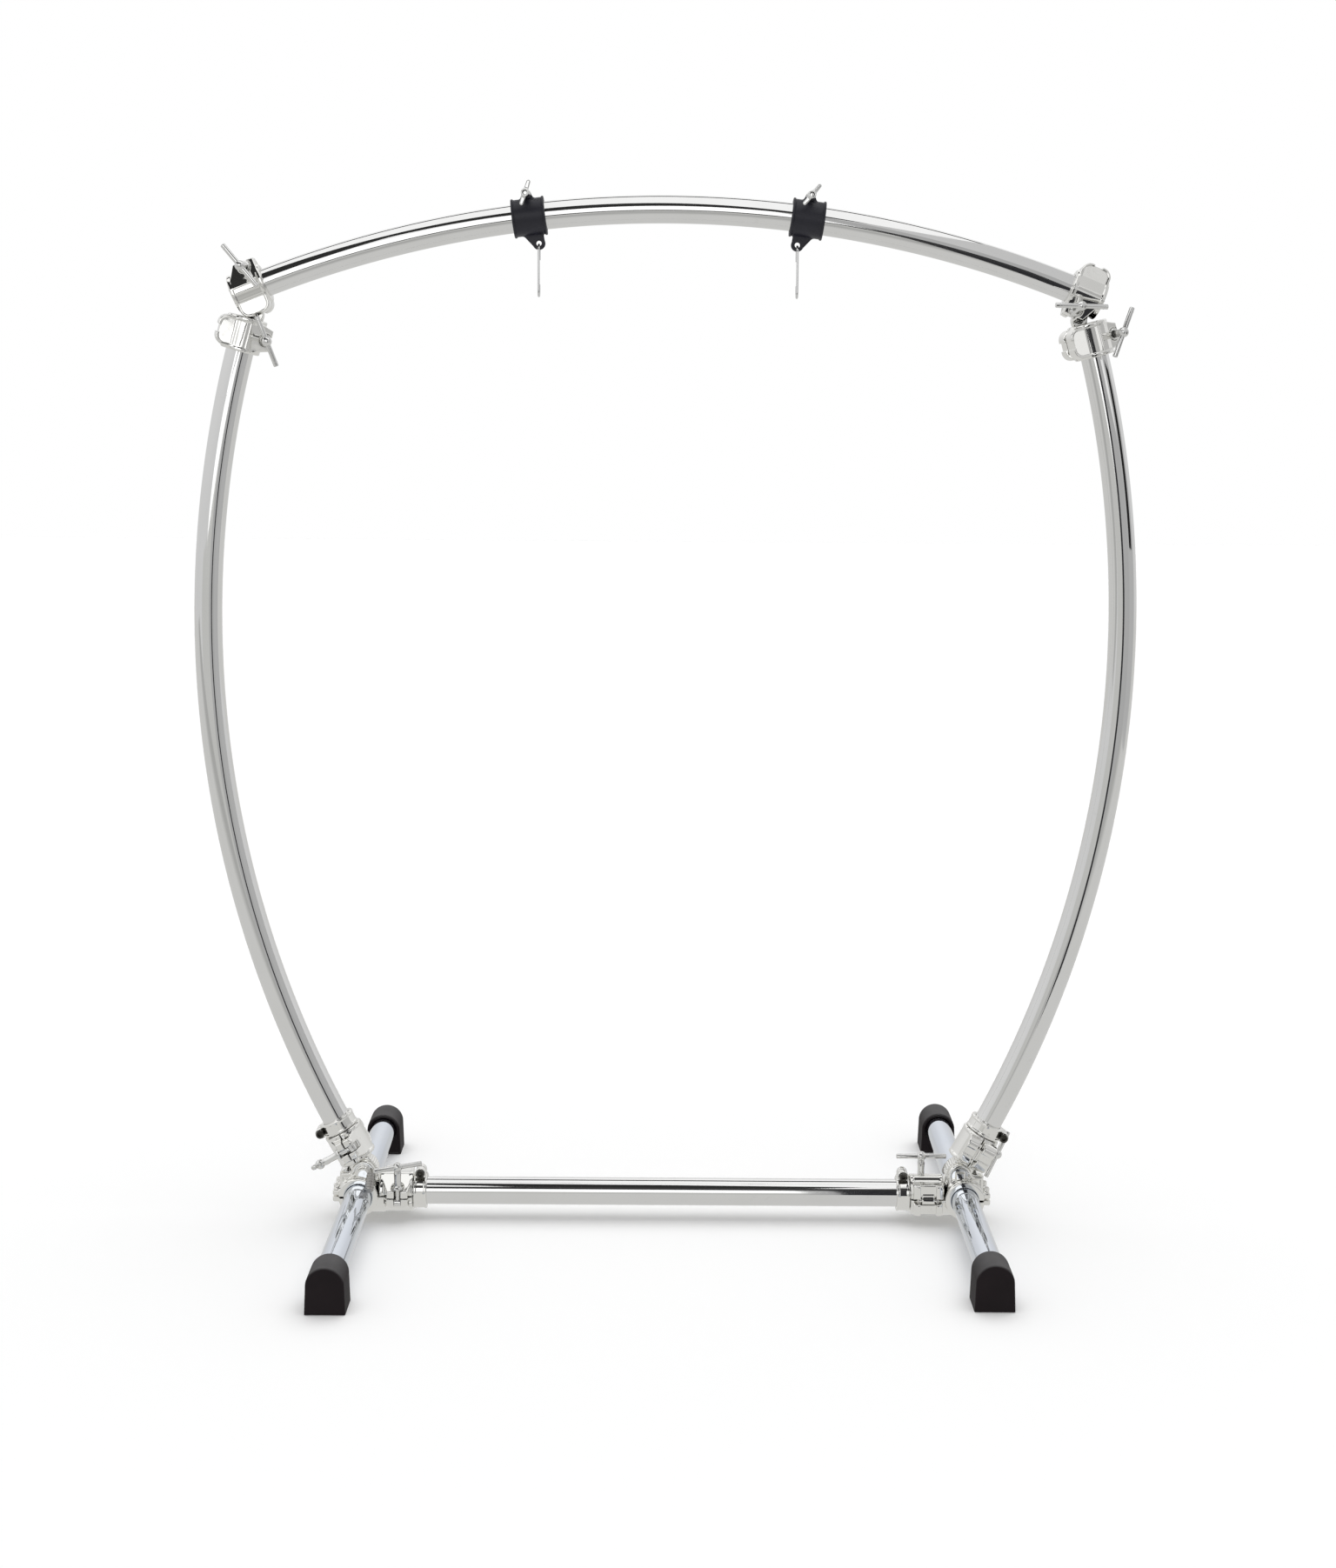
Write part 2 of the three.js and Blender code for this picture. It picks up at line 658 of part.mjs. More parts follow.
// Top corner places, for the left side
const cornerGap = Math.hypot(bendCentreX, widestHeight - topCentreHeight);
const cornerLift = Math.sqrt(bendRadius ** 2 - (cornerGap / 2) ** 2) / cornerGap;
const cornerX = bendCentreX / 2 - cornerLift * (widestHeight - topCentreHeight);
const upperAngle = Math.asin(-cornerX / bendRadius) + cornerOutset / bendRadius;
const cornerHeight = (widestHeight + topCentreHeight) / 2 + cornerLift * bendCentreX;
const crossAngle = Math.asin((cornerHeight - widestHeight) / bendRadius);
const cornerCosine = Math.sin(upperAngle + crossAngle);
const cornerSine = Math.cos(upperAngle + crossAngle);
const blockStraight = hingeBlockLength / 2 - hingeBlockRound;
const earLean = bodyEarDepth * Math.sin(rad(upperRightTilt));
const upperReach = Math.max(
  cornerSine * shellRadius + cornerCosine * (halfClamp - clampChamfer),
  cornerSine * (shellRadius - clampChamfer) + cornerCosine * halfClamp,
  cornerSine * (hingeBlockReach - hingeBlockRound) + cornerCosine * blockStraight + hingeBlockRound,
  cornerSine * (earEnd + earLean) + cornerCosine * (earWidth / 2 - upperShift),
);
const lowerDrop = halfClamp + upperReach + partGap + cornerOutset * cornerCosine;
const lowerAngle = crossAngle - lowerDrop / bendRadius;

// The pivot of the corner joint, in the upper clamp's frame: down from the bar and out along it
const shellAtLug = Math.sqrt(shellRadius ** 2 - (lugStart + lugThickness + partGap) ** 2);
const pivotDrop = shellAtLug + lugRadius + partGap;

// Places on the left: the bar's clamp and the upright's clamp
const upperPoint = new THREE.Vector3(-Math.sin(upperAngle), 0, Math.cos(upperAngle)).multiplyScalar(bendRadius);
upperPoint.z += topCentreHeight;
const barInward = new THREE.Vector3(Math.cos(upperAngle), 0, Math.sin(upperAngle));
const barDown = new THREE.Vector3(Math.sin(upperAngle), 0, -Math.cos(upperAngle));
const lowerPoint = new THREE.Vector3(-Math.cos(lowerAngle), 0, Math.sin(lowerAngle)).multiplyScalar(bendRadius);
lowerPoint.add(new THREE.Vector3(bendCentreX, 0, widestHeight));
const uprightUp = new THREE.Vector3(Math.sin(lowerAngle), 0, Math.cos(lowerAngle));
const pivotPoint = upperPoint
  .clone()
  .addScaledVector(barInward, -pivotOutset)
  .addScaledVector(barDown, pivotDrop);

function mirrored(vector) {
  return new THREE.Vector3(-vector.x, vector.y, vector.z);
}

function combine(first, a, second, b) {
  return new THREE.Vector3().addScaledVector(first, a).addScaledVector(second, b);
}

// Frames of the two clamps of a corner; side is -1 on the left and 1 on the right
function cornerFrames(side) {
  const at = (vector) => (side < 0 ? vector.clone() : mirrored(vector));
  const inward = at(barInward);
  const down = at(barDown);
  const up = down.clone().negate();
  let upper;
  if (side < 0) {
    upper = frame(at(upperPoint), up, front);
  } else {
    const tilt = rad(upperRightTilt);
    const across = combine(down, Math.cos(tilt), front, Math.sin(tilt));
    const out = combine(front, Math.cos(tilt), down, -Math.sin(tilt));
    upper = frame(at(upperPoint), across, out);
  }
  const along = at(uprightUp);
  const right = new THREE.Vector3(along.z, 0, -along.x);
  const angle = rad(lowerTurn);
  const across = combine(right, Math.cos(angle), front, -Math.sin(angle));
  const out = combine(front, Math.cos(angle), right, Math.sin(angle));
  return { upper, lower: frame(at(lowerPoint), across, out), pivot: at(pivotPoint), along, inward, down };
}

// A lug from a casting to the pivot: a tapered plate with a round end, in the world's XZ plane
function lugPlate(pivot, root, halfRoot, y0, y1) {
  const reach = new THREE.Vector3().subVectors(pivot, root);
  const length = Math.hypot(reach.x, reach.z);
  const away = Math.atan2(reach.z, reach.x);
  const shape = new THREE.Shape();
  shape.moveTo(0, -halfRoot);
  shape.lineTo(length, -lugRadius);
  shape.absarc(length, 0, lugRadius, -Math.PI / 2, Math.PI / 2, false);
  shape.lineTo(0, halfRoot);
  const flat = plate(shape, y1 - y0, 0, arcSteps);
  const stand = new THREE.Matrix4().makeBasis(
    new THREE.Vector3(Math.cos(away), 0, Math.sin(away)),
    new THREE.Vector3(-Math.sin(away), 0, Math.cos(away)),
    Y.clone().negate(),
  );
  stand.setPosition(root.x, (y0 + y1) / 2, root.z);
  return moved(flat, stand);
}

const lugSplit = lugStart + lugThickness;

function pivotHole(pivot, radius, y0, y1) {
  return moved(rod(radius, y0, y1, Y, boreSides), shift(pivot.x, 0, pivot.z));
}

function inverse(matrix) {
  return matrix.clone().invert();
}

function upperBody(places) {
  const root = new THREE.Vector3().setFromMatrixPosition(places.upper);
  root.addScaledVector(places.down, boreRadius + castWall / 3);
  root.addScaledVector(places.inward, -pivotOutset / 2);
  const toClamp = inverse(places.upper);
  const lug = moved(lugPlate(places.pivot, root, lugRadius, lugStart, lugSplit), toClamp);
  const bolt = moved(pivotHole(places.pivot, pivotBoltRadius + partGap, 0, 2 * lugSplit), toClamp);
  const lugRoom = moved(pivotHole(places.pivot, lugRadius + 5 * partGap, lugSplit, 2 * shellRadius), toClamp);
  const eyeHalf = eyeWidth / 2 + partGap;
  const eyeRoom = rod(eyeRadius + partGap, upperShift - eyeHalf, upperShift + eyeHalf);
  return clampBody(upperShift)
    .subtract(lugRoom)
    .add(lug)
    .subtract(bolt)
    .subtract(rod(boreRadius, -clampLength, clampLength, Z, boreSides))
    .subtract(moved(eyeRoom, shift(boltOffset, -pivotDepth, 0)));
}

function lowerBody(places) {
  const toClamp = inverse(places.lower);
  const root = new THREE.Vector3().subVectors(places.pivot, new THREE.Vector3().setFromMatrixPosition(places.lower));
  const height = root.dot(places.along);
  const start = places.pivot.clone().addScaledVector(places.along, -(height - uprightInsert() - 2 * partGap));
  const lugFront = lugSplit + partGap;
  const lugRear = lugFront + lugThickness;
  const headStart = lugRear + partGap;
  const lug = lugPlate(places.pivot, start, lugRadius, lugFront, lugRear);
  const room = pivotHole(places.pivot, lugRadius + 2 * partGap, lugStart - 2 * partGap, lugFront - partGap / 2);
  const bolt = pivotHole(places.pivot, pivotBoltRadius + partGap, 0, lugRear + overrun);
  const headRoom = pivotHole(places.pivot, pivotHeadRadius + partGap, headStart, headStart + 2 * pivotHeadThickness);
  return clampBody()
    .subtract(moved(room, toClamp))
    .add(moved(lug, toClamp))
    .subtract(moved(bolt, toClamp))
    .subtract(moved(headRoom, toClamp));
}

// How far the upright's end reaches above the middle of its top clamp
function uprightInsert() {
  const toPivot = new THREE.Vector3().subVectors(pivotPoint, lowerPoint);
  return toPivot.dot(uprightUp) - lugRadius - 4 * partGap;
}

function pivotBolt() {
  const tip = lugStart + partGap;
  const seat = lugSplit + 2 * partGap + lugThickness;
  const head = rod(pivotHeadRadius, seat, seat + pivotHeadThickness, Y, hexSides);
  return rod(pivotBoltRadius, tip, seat + pivotHeadThickness / 2, Y, smallSides).add(head);
}

// Hanger, in a frame on the top bar: X along the bar towards the stand's middle, Z away from the bend centre
const hangerBore = tubeRadius + hangerClearance;
const hangerRadius = hangerBore + hangerWall;

function hangerCollar() {
  const half = hangerLength / 2;
  const rim = hangerRadius + hangerRimHeight;
  const profile = [
    [0, -half],
    [rim, -half],
    [rim, -half + hangerRimWidth],
    [hangerRadius, -half + hangerRimWidth + hangerRimHeight / 2],
    [hangerRadius, half - hangerRimWidth - hangerRimHeight / 2],
    [rim, half - hangerRimWidth],
    [rim, half],
    [0, half],
  ];
  const sleeve = moved(turned(profile, boreSides), turn(Y, Math.PI / 2));
  const ear = new THREE.Shape();
  ear.moveTo(-hangerEarHalfWidth, hangerBore);
  ear.lineTo(hangerEarHalfWidth, hangerBore);
  ear.absarc(0, hangerScrewHeight, hangerEarRadius, rad(hangerEarArc[0]), rad(hangerEarArc[1]), false);
  const upright = turn(X, Math.PI / 2);
  const ears = moved(plate(ear, hangerSlit + 2 * hangerEarThickness, 0, arcSteps), upright);
  const lug = new THREE.Shape();
  lug.moveTo(eyeInset + hangerLugRadius, -hangerBore);
  lug.lineTo(-hangerLugHalfWidth, -hangerBore);
  lug.absarc(eyeInset, -eyeDrop, hangerLugRadius, rad(hangerLugArc[0]), rad(hangerLugArc[1]), false);
  const tongue = moved(plate(lug, hangerLugThickness, 0, arcSteps), upright);
  const halfSlit = hangerSlit / 2;
  const slitTop = hangerScrewHeight + 2 * hangerEarRadius;
  const eye = moved(rod(eyeHoleRadius, -hangerLength, hangerLength, Y, headSides), shift(eyeInset, 0, -eyeDrop));
  const screwHole = rod(hangerScrewRadius + partGap, -hangerLength, hangerLength, Y);
  return sleeve
    .add(ears)
    .add(tongue)
    .subtract(rod(hangerBore, -hangerLength, hangerLength, X, boreSides))
    .subtract(box(-hangerLength, hangerLength, -halfSlit, halfSlit, 0, slitTop))
    .subtract(eye)
    .subtract(moved(screwHole, shift(0, 0, hangerScrewHeight)));
}

const hangerFace = hangerSlit / 2 + hangerEarThickness;

function hangerScrew() {
  const rear = hangerFace + partGap;
  const head = rod(2 * hangerScrewRadius, rear, rear + hangerEarThickness, Y, hexSides);
  return rod(hangerScrewRadius, -hangerFace - wingReach, rear + hangerEarThickness / 2, Y).add(head);
}

// The wing nut turns about local Y; its origin is on the front ear and it reaches towards -Y
function wingNut() {
  const end = wingReach + wingHubRadius;
  const hub = turned(
    [
      [0, 0],
      [wingHubRadius + partGap, 0],
      [wingHubRadius + partGap, wingHubRadius],
      [wingHubRadius - partGap, wingReach - wingHubRadius],
      [wingHubRadius + partGap, wingReach],
      [wingHubRadius, end],
      [0, end],
    ],
    nutSides,
  );
  const half = wingSpan / 2;
  const arm = new THREE.CylinderGeometry(wingTipRadius, wingRootRadius, half, smallSides).translate(0, half / 2, 0);
  const armAt = (side) => solid(arm.clone().rotateZ((side * Math.PI) / 2).translate(0, 0, wingReach));
  const bore = rod(hangerScrewRadius + partGap, -overrun, end + overrun);
  return moved(hub.add(armAt(-1)).add(armAt(1)).subtract(bore), turn(X, Math.PI / 2));
}

// S hook: the wire lies over the eye's lower edge; Y runs through the eye
function sHook() {
  const top = new THREE.Vector3(0, 0, -hookSeat - hookTopBend);
  const low = -hookDrop + hookLowBend;
  const arc = (centreY, centreZ, radius, from, to) => {
    const points = [];
    for (let i = 0; i <= hookSteps; i += 1) {
      const angle = from + ((to - from) * i) / hookSteps;
      points.push(new THREE.Vector3(0, centreY + radius * Math.cos(angle), centreZ + radius * Math.sin(angle)));
    }
    return points;
  };
  const points = [
    new THREE.Vector3(0, hookTopBend, top.z - hookShortLeg),
    ...arc(0, top.z, hookTopBend, 0, Math.PI),
    ...arc(-hookTopBend + hookLowBend, low, hookLowBend, Math.PI, 2 * Math.PI),
    new THREE.Vector3(0, -hookTopBend + 2 * hookLowBend, low + hookLowLeg),
  ];
  return wireAlong(points);
}

// A wire through points in the YZ plane, with mitred corners
function wireAlong(points) {
  const positions = [];
  const ringAt = (i) => {
    const before = points[Math.max(i - 1, 0)];
    const after = points[Math.min(i + 1, points.length - 1)];
    const tangent = new THREE.Vector3().subVectors(after, before).normalize();
    const across = new THREE.Vector3().crossVectors(X, tangent).normalize();
    const ring = [];
    for (let k = 0; k < wireSides; k += 1) {
      const angle = (2 * Math.PI * k) / wireSides;
      const offset = combine(X, wireRadius * Math.cos(angle), across, wireRadius * Math.sin(angle));
      ring.push(offset.add(points[i]));
    }
    return ring;
  };
  const rings = points.map((_, i) => ringAt(i));
  const triangle = (a, b, c) => positions.push(...a.toArray(), ...b.toArray(), ...c.toArray());
  for (let i = 1; i < rings.length; i += 1) {
    for (let k = 0; k < wireSides; k += 1) {
      const next = (k + 1) % wireSides;
      triangle(rings[i - 1][k], rings[i - 1][next], rings[i][next]);
      triangle(rings[i - 1][k], rings[i][next], rings[i][k]);
    }
  }
  const last = rings.length - 1;
  for (let k = 0; k < wireSides; k += 1) {
    const next = (k + 1) % wireSides;
    triangle(points[0], rings[0][next], rings[0][k]);
    triangle(points[last], rings[last][k], rings[last][next]);
  }
  const geometry = new THREE.BufferGeometry();
  geometry.setAttribute("position", new THREE.Float32BufferAttribute(positions, 3));
  return solid(geometry);
}

// Assembly
const stand = new THREE.Group();

function addLegs(side) {
  const name = side < 0 ? "left" : "right";
  const x = side * legX;
  const y = side < 0 ? -legSlide : 0;
  const tubeLength = legLength - 2 * (footEndWall + partGap);
  stand.add(groupAt(shift(x, y, axisHeight), named(`${name}_leg_tube`, straightTube(tubeLength, Y), chromeTube)));
  for (const end of [-1, 1]) {
    const foot = named(`${name}_${end < 0 ? "front" : "rear"}_foot`, rubberFoot(), blackRubber);
    const start = y + end * (legLength / 2 - footDepth);
    const matrix = frame(new THREE.Vector3(x, start, 0), new THREE.Vector3(-end, 0, 0), Z);
    stand.add(groupAt(matrix, foot));
  }
}

function addBase(side) {
  const name = side < 0 ? "left" : "right";
  const base = groupAt(shift(side * legX, 0, axisHeight));
  if (side > 0) base.rotation.z = Math.PI;
  const casting = named(`${name}_leg_clamp`, legClamp(), chromeCast);
  const socket = named(`${name}_upright_socket`, uprightSocket(), chromeCast);
  const which = side < 0 ? 0 : 1;
  base.add(
    clampSet(`${name}_bar_clamp`, barFrame, casting, rad(barNutTurns[which]), -barShift),
    clampSet(`${name}_upright_clamp`, baseUprightFrame, socket, rad(uprightNutTurns[which])),
  );
  stand.add(base);
}

function addCorner(side) {
  const name = side < 0 ? "left" : "right";
  const places = cornerFrames(side);
  const upper = named(`${name}_corner_bar_socket`, upperBody(places), chromeCast);
  const lower = named(`${name}_corner_upright_socket`, lowerBody(places), chromeCast);
  const bolt = named(`${name}_corner_pivot_bolt`, pivotBolt(), chromeBolt);
  const which = side < 0 ? 0 : 1;
  stand.add(clampSet(`${name}_corner_bar`, places.upper, upper, rad(cornerBarNutTurns[which]), upperShift));
  stand.add(clampSet(`${name}_corner_upright`, places.lower, lower, rad(cornerUprightNutTurns[which])));
  stand.add(groupAt(shift(places.pivot.x, 0, places.pivot.z), bolt));
}

function addUpright(side) {
  const name = side < 0 ? "left" : "right";
  const low = baseClampAngle - (halfClamp - socketFloor - 2 * partGap) / bendRadius;
  const high = lowerAngle + uprightInsert() / bendRadius;
  const tube = side < 0 ? bentTube(Math.PI - low, Math.PI - high) : bentTube(low, high);
  stand.add(groupAt(shift(-side * bendCentreX, 0, widestHeight), named(`${name}_upright`, tube, chromeTube)));
}

function addTopBar() {
  const half = upperAngle + (halfClamp - partGap) / bendRadius;
  const tube = bentTube(Math.PI / 2 + half, Math.PI / 2 - half);
  stand.add(groupAt(shift(0, 0, topCentreHeight), named("top_bar", tube, chromeTube)));
}

function addLowerBar() {
  const length = 2 * (legX - barrelRadius - 3 * partGap);
  stand.add(groupAt(shift(0, 0, axisHeight), named("lower_bar", straightTube(length, X), chromeTube)));
}

// Locks sit against the base clamps, with the screw heads to the front
function addLocks(side) {
  const name = side < 0 ? "left" : "right";
  const beside = halfClamp + lockWidth / 2 + 3 * partGap;
  const barX = side * (legX - barClampReach - beside);
  const barPlace = frame(new THREE.Vector3(barX, 0, axisHeight), Y, Z);
  stand.add(lockSet(`${name}_bar`, barPlace));
  const angle = baseClampAngle + beside / bendRadius;
  const x = bendCentreX - bendRadius * Math.cos(angle);
  const z = widestHeight + bendRadius * Math.sin(angle);
  const outward = new THREE.Vector3(Math.cos(angle) * side, 0, Math.sin(angle));
  const place = frame(new THREE.Vector3(-side * x, 0, z), Y, outward);
  stand.add(lockSet(`${name}_upright`, place));
}

function addHanger(side) {
  const name = side < 0 ? "left" : "right";
  const angle = Math.asin(hangerSpread / bendRadius);
  const along = new THREE.Vector3(-side * Math.cos(angle), 0, Math.sin(angle));
  const away = new THREE.Vector3(side * Math.sin(angle), 0, Math.cos(angle));
  const centre = away.clone().multiplyScalar(bendRadius);
  centre.z += topCentreHeight;
  const collar = named(`${name}_hanger`, side > 0 ? hangerCollarMirrored : hangerCollarPlain, blackNylon);
  const screw = named(`${name}_hanger_screw`, hangerScrew(), chromeBolt);
  const nut = named(`${name}_hanger_wing_nut`, wingNut(), chromeBolt);
  const hook = named(`${name}_s_hook`, sHook(), steelWire);
  const plain = new THREE.Vector3(-side * along.x, 0, -side * along.z);
  const holder = groupAt(frame(centre, plain, Y), collar, screw, nut);
  screw.position.z = hangerScrewHeight;
  nut.position.set(0, -hangerFace - partGap, hangerScrewHeight);
  nut.rotation.y = rad(wingNutTurns[side < 0 ? 0 : 1]);
  stand.add(holder);
  const eye = centre.clone().addScaledVector(along, eyeInset).addScaledVector(away, -eyeDrop);
  stand.add(groupAt(shift(eye.x, eye.y, eye.z), hook));
}

const hangerCollarPlain = hangerCollar();
const hangerCollarMirrored = moved(hangerCollarPlain, turn(Z, Math.PI));

for (const side of [-1, 1]) {
  addLegs(side);
  addBase(side);
  addLocks(side);
  addUpright(side);
  addCorner(side);
  addHanger(side);
}
addTopBar();
addLowerBar();

// The origin stays under the middle of the feet
stand.position.y = legSlide / 2;

export default stand;
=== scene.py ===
import math

import bpy
import numpy as np
from mathutils import Matrix, Vector


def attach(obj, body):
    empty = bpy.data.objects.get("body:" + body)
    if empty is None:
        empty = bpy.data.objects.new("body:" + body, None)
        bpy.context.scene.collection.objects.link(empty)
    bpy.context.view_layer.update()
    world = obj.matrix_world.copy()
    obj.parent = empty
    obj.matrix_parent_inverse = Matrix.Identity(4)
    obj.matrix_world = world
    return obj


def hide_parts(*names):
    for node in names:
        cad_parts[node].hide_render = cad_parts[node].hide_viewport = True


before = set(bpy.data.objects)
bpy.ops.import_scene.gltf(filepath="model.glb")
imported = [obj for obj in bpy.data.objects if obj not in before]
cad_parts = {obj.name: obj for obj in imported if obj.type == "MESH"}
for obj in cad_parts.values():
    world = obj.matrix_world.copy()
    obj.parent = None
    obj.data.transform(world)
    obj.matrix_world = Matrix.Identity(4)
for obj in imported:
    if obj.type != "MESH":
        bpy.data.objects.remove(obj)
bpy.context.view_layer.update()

# Camera
# A 50 mm lens three metres in front of the stand, at shoulder height and tipped down six degrees.
# The lens is shifted down so that the whole stand sits in the middle of the upright frame.
camera = bpy.data.objects.new("camera", bpy.data.cameras.new("camera"))
bpy.context.scene.collection.objects.link(camera)
camera.data.lens = 50
camera.data.sensor_width = 36
camera.data.shift_y = -0.105
camera.data.clip_start = 0.05
camera_place = (-0.00451, -3.00377, 1.17901)
pitch, yaw, roll = 0.105, -0.0026, 0.00701
level_right = Vector((math.cos(yaw), math.sin(yaw), 0))
level_ahead = Vector((-math.sin(yaw), math.cos(yaw), 0))
ahead = level_ahead * math.cos(pitch) - Vector((0, 0, math.sin(pitch)))
level_up = level_right.cross(ahead)
camera_right = level_right * math.cos(roll) + level_up * math.sin(roll)
camera_up = level_up * math.cos(roll) - level_right * math.sin(roll)
aim = Matrix((camera_right, camera_up, -ahead)).transposed().to_4x4()
camera.matrix_world = Matrix.Translation(camera_place) @ aim
bpy.context.scene.camera = camera
bpy.context.scene.view_settings.view_transform = "Standard"


# Studio
# A white floor that runs into a white surround, a wide soft sun overhead and an even sky. Panels round it
# are seen only in the chrome: white in front, greys from pale to dark at the right, and narrow black ones
# that draw the dark lines along the tubes.
class Wire:
    """A socket of a node tree. A sum written with it becomes Math nodes."""

    def __init__(self, tree, socket):
        self.tree = tree
        self.socket = socket

    def __add__(self, other):
        return self.tree.sum("ADD", self, other)

    def __sub__(self, other):
        return self.tree.sum("SUBTRACT", self, other)

    def __rsub__(self, other):
        return self.tree.sum("SUBTRACT", other, self)

    def __mul__(self, other):
        return self.tree.sum("MULTIPLY", self, other)

    __radd__ = __add__
    __rmul__ = __mul__

    def beside(self, name):
        """Another output of the same node."""
        return Wire(self.tree, self.socket.node.outputs[name])


class Tree:
    """A node tree under construction."""

    def __init__(self, tree):
        self.tree = tree
        tree.nodes.clear()

    def node(self, kind, settings=None, inputs=None, output=0):
        made = self.tree.nodes.new(kind)
        for key, value in (settings or {}).items():
            if key == "stops":
                elements = made.color_ramp.elements
                while len(elements) < len(value):
                    elements.new(1.0)
                for stop, (place, colour) in zip(elements, value):
                    stop.position = place
                    stop.color = (*colour, 1.0)
            else:
                setattr(made, key, value)
        for key, value in (inputs or {}).items():
            if isinstance(value, Wire):
                self.tree.links.new(value.socket, made.inputs[key])
            else:
                made.inputs[key].default_value = value
        return Wire(self, made.outputs[output]) if len(made.outputs) else None

    def sum(self, operation, first, second):
        return self.node("ShaderNodeMath", {"operation": operation}, {0: first, 1: second})

    def between(self, share, first, second):
        """A colour between two others."""
        colours = {0: share, 6: first, 7: second}
        return self.node("ShaderNodeMix", {"data_type": "RGBA"}, colours, output=2)

    def sine(self, value):
        return self.node("ShaderNodeMath", {"operation": "SINE"}, {0: value})


def finish_named(name):
    made = bpy.data.materials.new(name)
    made.use_nodes = True
    return made, Tree(made.node_tree)


def panel(name, corners, colour):
    """A flat panel that is seen only in the chrome."""
    mesh = bpy.data.meshes.new(name)
    mesh.from_pydata(corners, [], [tuple(range(len(corners)))])
    made, tree = finish_named(name)
    glow = tree.node("ShaderNodeEmission", inputs={"Color": (*colour, 1.0)})
    tree.node("ShaderNodeOutputMaterial", inputs={0: glow})
    mesh.materials.append(made)
    board = bpy.data.objects.new(name, mesh)
    bpy.context.scene.collection.objects.link(board)
    board.visible_camera = False
    board.visible_diffuse = False
    board.visible_shadow = False
    board.visible_transmission = False


def upright_panel(name, left, right, low, high, colour):
    """A panel that stands between two points of the floor plan."""
    corners = [(*left, low), (*right, low), (*right, high), (*left, high)]
    panel(name, corners, colour)


upright_panel("white_panel", (-1.77, -3.6), (0.45, -3.6), 0.75, 3.3, (1.4, 1.4, 1.4))
upright_panel("dark_stand", (0.38, -1.55), (0.74, -1.55), 0.0, 1.4, (0.03, 0.03, 0.033))
upright_panel("grey_panel", (0.45, -3.62), (3.4, -2.6), 0.0, 3.3, (0.46, 0.46, 0.46))
upright_panel("pale_panel", (0.9, -3.58), (1.7, -3.4), 0.6, 3.3, (0.75, 0.75, 0.75))
upright_panel("pale_top", (1.65, -3.16), (2.5, -2.86), 1.9, 3.3, (0.75, 0.75, 0.75))
upright_panel("bright_side", (2.2, -2.96), (3.38, -2.55), 1.4, 1.9, (0.92, 0.92, 0.92))
upright_panel("side_panel", (3.4, -2.6), (3.4, 0.3), 0.0, 3.3, (0.5, 0.5, 0.5))
upright_panel("dark_screen", (0.95, -0.21), (1.05, -0.07), 0.96, 1.3, (0.02, 0.02, 0.02))
upright_panel("low_wall", (-4.0, -3.7), (4.0, -3.7), 0.0, 0.75, (0.6, 0.6, 0.585))
upright_panel("high_beam", (-12.0, 8.0), (12.0, 8.0), 9.6, 15.5, (0.05, 0.05, 0.05))
gap_low = 1.828
gap_slope = 0.27
gap_plan = [(0.35, -2.75), (0.5, -0.95), (0.0, -0.49), (-0.6, -0.28), (-1.4, 0.3)]
gap_plan += [(-1.5, -1.9), (-1.05, -1.73), (-0.66, -0.78), (-0.45, -1.3), (-0.38, -2.65)]
panel("dark_gap", [(x, y, gap_low - gap_slope * y) for x, y in gap_plan], (0.03, 0.03, 0.03))
ceiling = [(0.56, -3.2, 2.9), (4, -3.2, 2.9), (4, 0.9, 2.1), (0.8, 0.9, 2.1)]
panel("grey_ceiling", ceiling, (0.64, 0.64, 0.64))
slat_height = 1.18
slat_plan = [(-1, -1.75), (1, -1.75), (1, -0.95), (-1, -0.95)]
panel("dark_slat", [(x, y, slat_height) for x, y in slat_plan], (0.05, 0.05, 0.05))

floor_mesh = bpy.data.meshes.new("floor")
floor_mesh.from_pydata([(-9, -3.7, 0), (9, -3.7, 0), (9, 14, 0), (-9, 14, 0)], [], [(0, 1, 2, 3)])
floor_finish, tree = finish_named("floor")
glossy = tree.node("ShaderNodeLightPath").beside("Is Glossy Ray")
paper = tree.node("ShaderNodeBsdfDiffuse", inputs={"Color": (0.98, 0.98, 0.98, 1.0)})
# For glossy rays the floor is a painted reflection: a grey glow, paler within about 1.3 m of the stand and
# greyer towards the camera.
near = tree.node("ShaderNodeSeparateXYZ", inputs={0: tree.node("ShaderNodeTexCoord", output=3)}, output=1)
near = tree.node("ShaderNodeMapRange", {"clamp": True}, {0: near, 1: -2.4, 2: -1.3})
painted_floor_reflection = tree.between(near, (0.46, 0.46, 0.45, 1.0), (0.67, 0.668, 0.655, 1.0))
painted_floor_reflection = tree.node("ShaderNodeEmission", inputs={"Color": painted_floor_reflection})
shown = tree.node("ShaderNodeMixShader", inputs={0: glossy, 1: paper, 2: painted_floor_reflection})
tree.node("ShaderNodeOutputMaterial", inputs={0: shown})
floor_mesh.materials.append(floor_finish)
floor = bpy.data.objects.new("floor", floor_mesh)
bpy.context.scene.collection.objects.link(floor)

